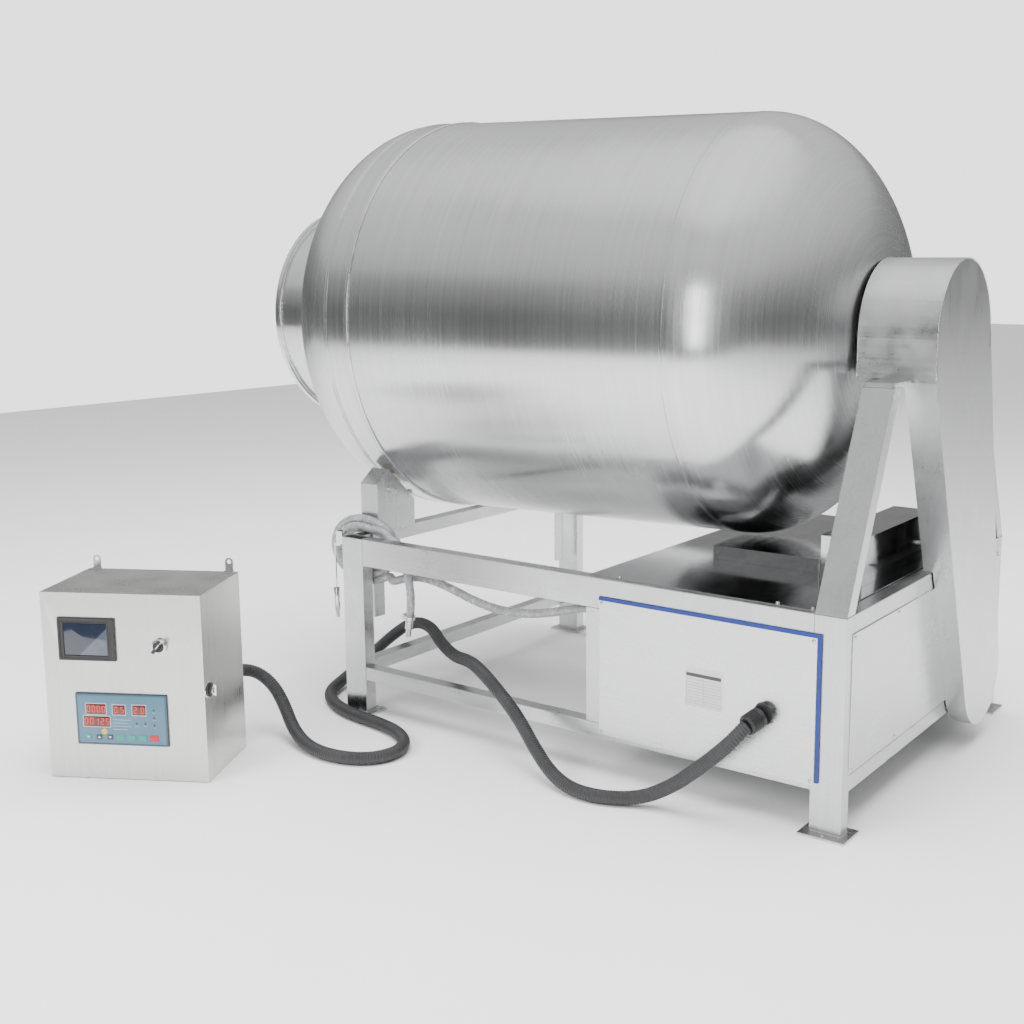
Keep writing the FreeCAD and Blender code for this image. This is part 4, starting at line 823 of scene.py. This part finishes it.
def head(build, at, axis, rad, tall, turn, mat=0):
    """Domed head with a cross recess, on a flat seat."""
    a = Vector(axis)
    u = Vector((0, 0, 1)) if abs(a.z) < 0.9 else Vector((1, 0, 0))
    w = a.cross(u)
    at = Vector(at)
    nr, na = 11, 40
    rr = [[at + (u * math.cos(2 * math.pi * j / na) + w * math.sin(2 * math.pi * j / na)) * rad for j in range(na)]]
    for i in range(nr):
        f_ = 1 - (i / (nr - 0.0)) ** 1.0
        ring = []
        for j in range(na):
            t = 2 * math.pi * j / na
            r = rad * f_
            h = tall * (0.35 + 0.65 * math.sqrt(max(0.0, 1 - (r / rad) ** 2.2))) if i else tall * 0.35
            x_, y_ = r * math.cos(t + turn), r * math.sin(t + turn)
            arm = rad * 0.13
            if r < rad * 0.62 and (abs(x_) < arm or abs(y_) < arm):
                h -= tall * 0.42
            ring.append(at + (u * math.cos(t) + w * math.sin(t)) * r + a * h)
        rr.append(ring)
    build.rings(rr, True, True, True, mat)


b = Build()
for lo, hi in islands(NODES["panel_screws"]):
    ext = [hi[j] - lo[j] for j in range(3)]
    j = ext.index(min(ext))
    mid = [(lo[i] + hi[i]) / 2 for i in range(3)]
    axis = [0, 0, 0]
    out_ = 1 if j == 2 or mid[j] > 0.3 else -1
    if j == 0:
        out_ = 1 if mid[0] > 0.4 else -1
    axis[j] = out_
    base = list(mid)
    base[j] = lo[j] if out_ > 0 else hi[j]
    rad = max(ext) / 2
    head(b, base, axis, rad * 1.0, ext[j] * 1.0, rnd.random() * 1.5)
put(b.make("panel_screw_heads", [M["bright"]], 30.0), "root", "bright_metal", "panel_screws")

# ------------------------------------------------------------------ weld beads


def bead(build, pts_, rad, ripple=0.18, pitch=0.0032, seg=8, mat=0):
    line_, _ = resample([Vector(q) for q in pts_], 0.0016)
    ax = carried_axes(line_)
    rr, s_ = [], 0.0
    for i, (c, (t, u, w)) in enumerate(zip(line_, ax)):
        if i:
            s_ += (line_[i] - line_[i - 1]).length
        r = rad * (1 + ripple * math.sin(2 * math.pi * s_ / pitch) + 0.10 * math.sin(s_ * 61.0) + 0.07 * math.sin(s_ * 143.0 + 1.0))
        ends = min(1.0, (i + 1) / 3, (len(line_) - i) / 3)
        rr.append([c + (u * math.cos(2 * math.pi * q / seg) + w * math.sin(2 * math.pi * q / seg)) * r * ends for q in range(seg)])
    build.rings(rr, True, True, True, mat)


def hoop(x, r, n=240, a0=0.0, a1=360.0, y0=0.0, z0=AZ):
    return [(x, y0 + r * math.cos(math.radians(a0 + (a1 - a0) * i / n)), z0 + r * math.sin(math.radians(a0 + (a1 - a0) * i / n))) for i in range(n + 1)]


b = Build()
bead(b, hoop(-0.7145, 0.5953), 0.0030)
put(b.make("weld_ring_shell", [M["bead"]], 50.0), "drum", "drum_steel")
b = Build()
for x, r, wd, hh in ((-0.8045, 0.5972, 0.0034, 0.0011), (-0.7950, 0.5974, 0.0026, 0.0009), (-0.7240, 0.5970, 0.0022, 0.0007), (0.3000, 0.5680, 0.0040, 0.0006)):
    prof = [(-wd, 0.0), (-wd * 0.6, hh * 0.75), (0.0, hh), (wd * 0.6, hh * 0.75), (wd, 0.0)]
    rings_ = [[Vector((x + d, (r + e) * math.cos(2 * math.pi * q / 160), AZ + (r + e) * math.sin(2 * math.pi * q / 160))) for q in range(160)] for d, e in prof]
    b.rings(rings_, True, False, False)
put(b.make("drum_ridges", [M["drum_band"]], 50.0), "drum", "drum_steel")
b = Build()
bead(b, hoop(-1.0835, 0.3368, 200), 0.0030)
bead(b, hoop(-1.2690, 0.3365, 200), 0.0024)
put(b.make("weld_ring_neck", [M["bead"]], 50.0), "drum", "drum_steel")
b = Build()
bead(b, hoop(0.6655, 0.0615, 60), 0.0030)
put(b.make("weld_ring_hub", [M["bead"]], 50.0), "drum", "drum_steel")
# cover and guard seams
b = Build()
arch = [(0.8552, -0.2120, 1.050)] + [(0.8552, -0.020 + 0.1925 * math.cos(math.radians(q)), 1.145 + 0.1925 * math.sin(math.radians(q))) for q in range(180, -16, -4)]
bead(b, arch, 0.0016, 0.15)
arch2 = [(0.6535, -0.2140, 1.049)] + [(0.6535, -0.020 + 0.1938 * math.cos(math.radians(q)), 1.145 + 0.1938 * math.sin(math.radians(q))) for q in range(180, -1, -4)] + [(0.6535, 0.1738, 1.049)]
bead(b, arch2, 0.0014, 0.12)
put(b.make("cover_seams", [M["bead"]], 50.0), "root", "panel_steel")
# frame joints
b = Build()
for sx, x in ((-1, -0.718), (1, 0.718)):
    for y0, y1 in ((-0.558, -0.518), (0.518, 0.558)):
        for z0, z1 in ((0.452, 0.532), (0.106, 0.146)):
            yo = y0 if y0 < 0 else y1
            yi = y1 if y0 < 0 else y0
            bead(b, [(x - sx * 0.0006, yo, z0), (x - sx * 0.0006, yo, z1)], 0.0014, 0.2)
            bead(b, [(x - sx * 0.0006, yi, z0), (x - sx * 0.0006, yi, z1)], 0.0022, 0.2)
            bead(b, [(x - sx * 0.0006, yo, z0), (x - sx * 0.0006, yi, z0)], 0.0024, 0.2)
            bead(b, [(x - sx * 0.0006, yo, z1), (x - sx * 0.0006, yi, z1)], 0.0016, 0.2)
for x0, x1 in ((-0.798, -0.718), (0.718, 0.798)):
    for y0, y1 in ((-0.558, -0.518), (0.518, 0.558)):
        ring_ = [(x0, y0, 0.0066), (x1, y0, 0.0066), (x1, y1, 0.0066), (x0, y1, 0.0066), (x0, y0, 0.0066)]
        for q0, q1 in zip(ring_, ring_[1:]):
            bead(b, [q0, q1], 0.0026, 0.2)
put(b.make("frame_welds", [M["bead_dull"]], 50.0), "root", "frame_steel")

# ------------------------------------------------------------------ conduit gland ribs and nut facets
b = Build()
gd = Vector((-20.0, -58.0, -20.0)).normalized()
tip = Vector((0.580, -0.619, 0.252))
prof = [(0.000, 0.0186), (0.000, 0.0222), (0.002, 0.0236)]
for i in range(6):
    s0 = 0.004 + i * 0.0058
    prof += [(s0, 0.0237), (s0 + 0.0012, 0.0256), (s0 + 0.0034, 0.0258), (s0 + 0.0046, 0.0238)]
prof += [(0.041, 0.0245), (0.046, 0.0252)]
b.lathe(tip + gd * 0.001, -gd, prof, 36, 0, False, False)
hexa = [(0.0285 * math.cos(math.radians(15 + 60 * i)), 0.0285 * math.sin(math.radians(15 + 60 * i))) for i in range(6)]
b.prism(Vector((0.600, -0.5612, 0.272)), Vector((1, 0, 0)), Vector((0, 0, 1)), Vector((0, -1, 0)), hexa, 0.0085, 0.0012)
gland = put(b.make("gland_ribs", [M["black"]], 35.0), "root", "black_plastic")
b = Build()
prof = [(0.003, 0.0246), (0.011, 0.0250)]
for i in range(5):
    s0 = 0.014 + i * 0.0062
    prof += [(s0, 0.0217), (s0 + 0.0012, 0.0235), (s0 + 0.0036, 0.0236), (s0 + 0.0048, 0.0218)]
b.lathe(bx(354, 280.0, 190), BV, prof, 36, 0, False, False)
box_ribs = b.make("box_gland_ribs", [M["black"]], 35.0)
put(box_ribs, "root", "black_plastic")

# ------------------------------------------------------------------ room
b = Build()
b.add([(-9, -4.7, 0), (9, -4.7, 0), (9, 26, 0), (-9, 26, 0)], [(0, 1, 2, 3)])
m, nt, p = shader("floor_pale")
k = Net(nt)
g = k.noise(k.scaled(k.coords(), (3.0,) * 3), 1.0, 4.0, 0.6)
k.link(k.ramp(g, [(0.3, 0.80), (0.7, 0.82)]), p.inputs["Base Color"])
p.inputs["Roughness"].default_value = 0.9
p.inputs["Specular IOR Level"].default_value = 0.1
floor = b.make("floor", [m], 0)

world = bpy.data.worlds.new("studio")
scene.world = world
world.use_nodes = True
nt = world.node_tree
k = Net(nt)
bg = nt.nodes["Background"]
out = nt.nodes["World Output"]
sep = k.n("ShaderNodeSeparateXYZ")
k.link(k.n("ShaderNodeTexCoord").outputs["Generated"], sep.inputs[0])
f = k.span(sep.outputs[2], -1.0, 1.0)


def lv(z):
    return (z + 1) / 2


env = k.ramp(f, [(lv(-1.0), 0.25), (lv(-0.30), 0.20), (lv(-0.12), 0.12), (lv(0.06), 0.10), (lv(0.30), 0.24), (lv(0.37), 0.42),
                 (lv(0.67), 0.58), (lv(0.75), 0.50), (lv(0.80), 0.85), (lv(1.0), 0.95)])
k.link(env, bg.inputs["Color"])
bg.inputs["Strength"].default_value = 1.7
bg2 = k.n("ShaderNodeBackground")
bg2.inputs["Color"].default_value = (0.97, 0.97, 0.97, 1)
bg2.inputs["Strength"].default_value = 2.4
lp = k.n("ShaderNodeLightPath")
mixs = k.n("ShaderNodeMixShader")
k.link(lp.outputs["Is Camera Ray"], mixs.inputs[0])
k.link(bg.outputs[0], mixs.inputs[1])
k.link(bg2.outputs[0], mixs.inputs[2])
k.link(mixs.outputs[0], out.inputs[0])


def soft(name, at, look, w, h, power, glossy=True):
    li = bpy.data.lights.new(name, "AREA")
    li.shape = "RECTANGLE"
    li.size, li.size_y = w, h
    li.energy = power
    ob = bpy.data.objects.new(name, li)
    scene.collection.objects.link(ob)
    ob.location = at
    ob.rotation_euler = (Vector(look) - Vector(at)).to_track_quat("-Z", "Y").to_euler()
    ob.visible_glossy = glossy
    return ob


soft("light_top", (0.2, 0.0, 4.6), (0, 0, 0), 5.5, 5.0, 620.0, glossy=False)
soft("light_front", (-1.5, -5.2, 3.4), (0, 0, 0.9), 3.0, 1.6, 240.0, glossy=False)
soft("light_strip", (1.35, -5.0, 1.7), (0.5, 0, 1.1), 0.7, 2.6, 60.0)
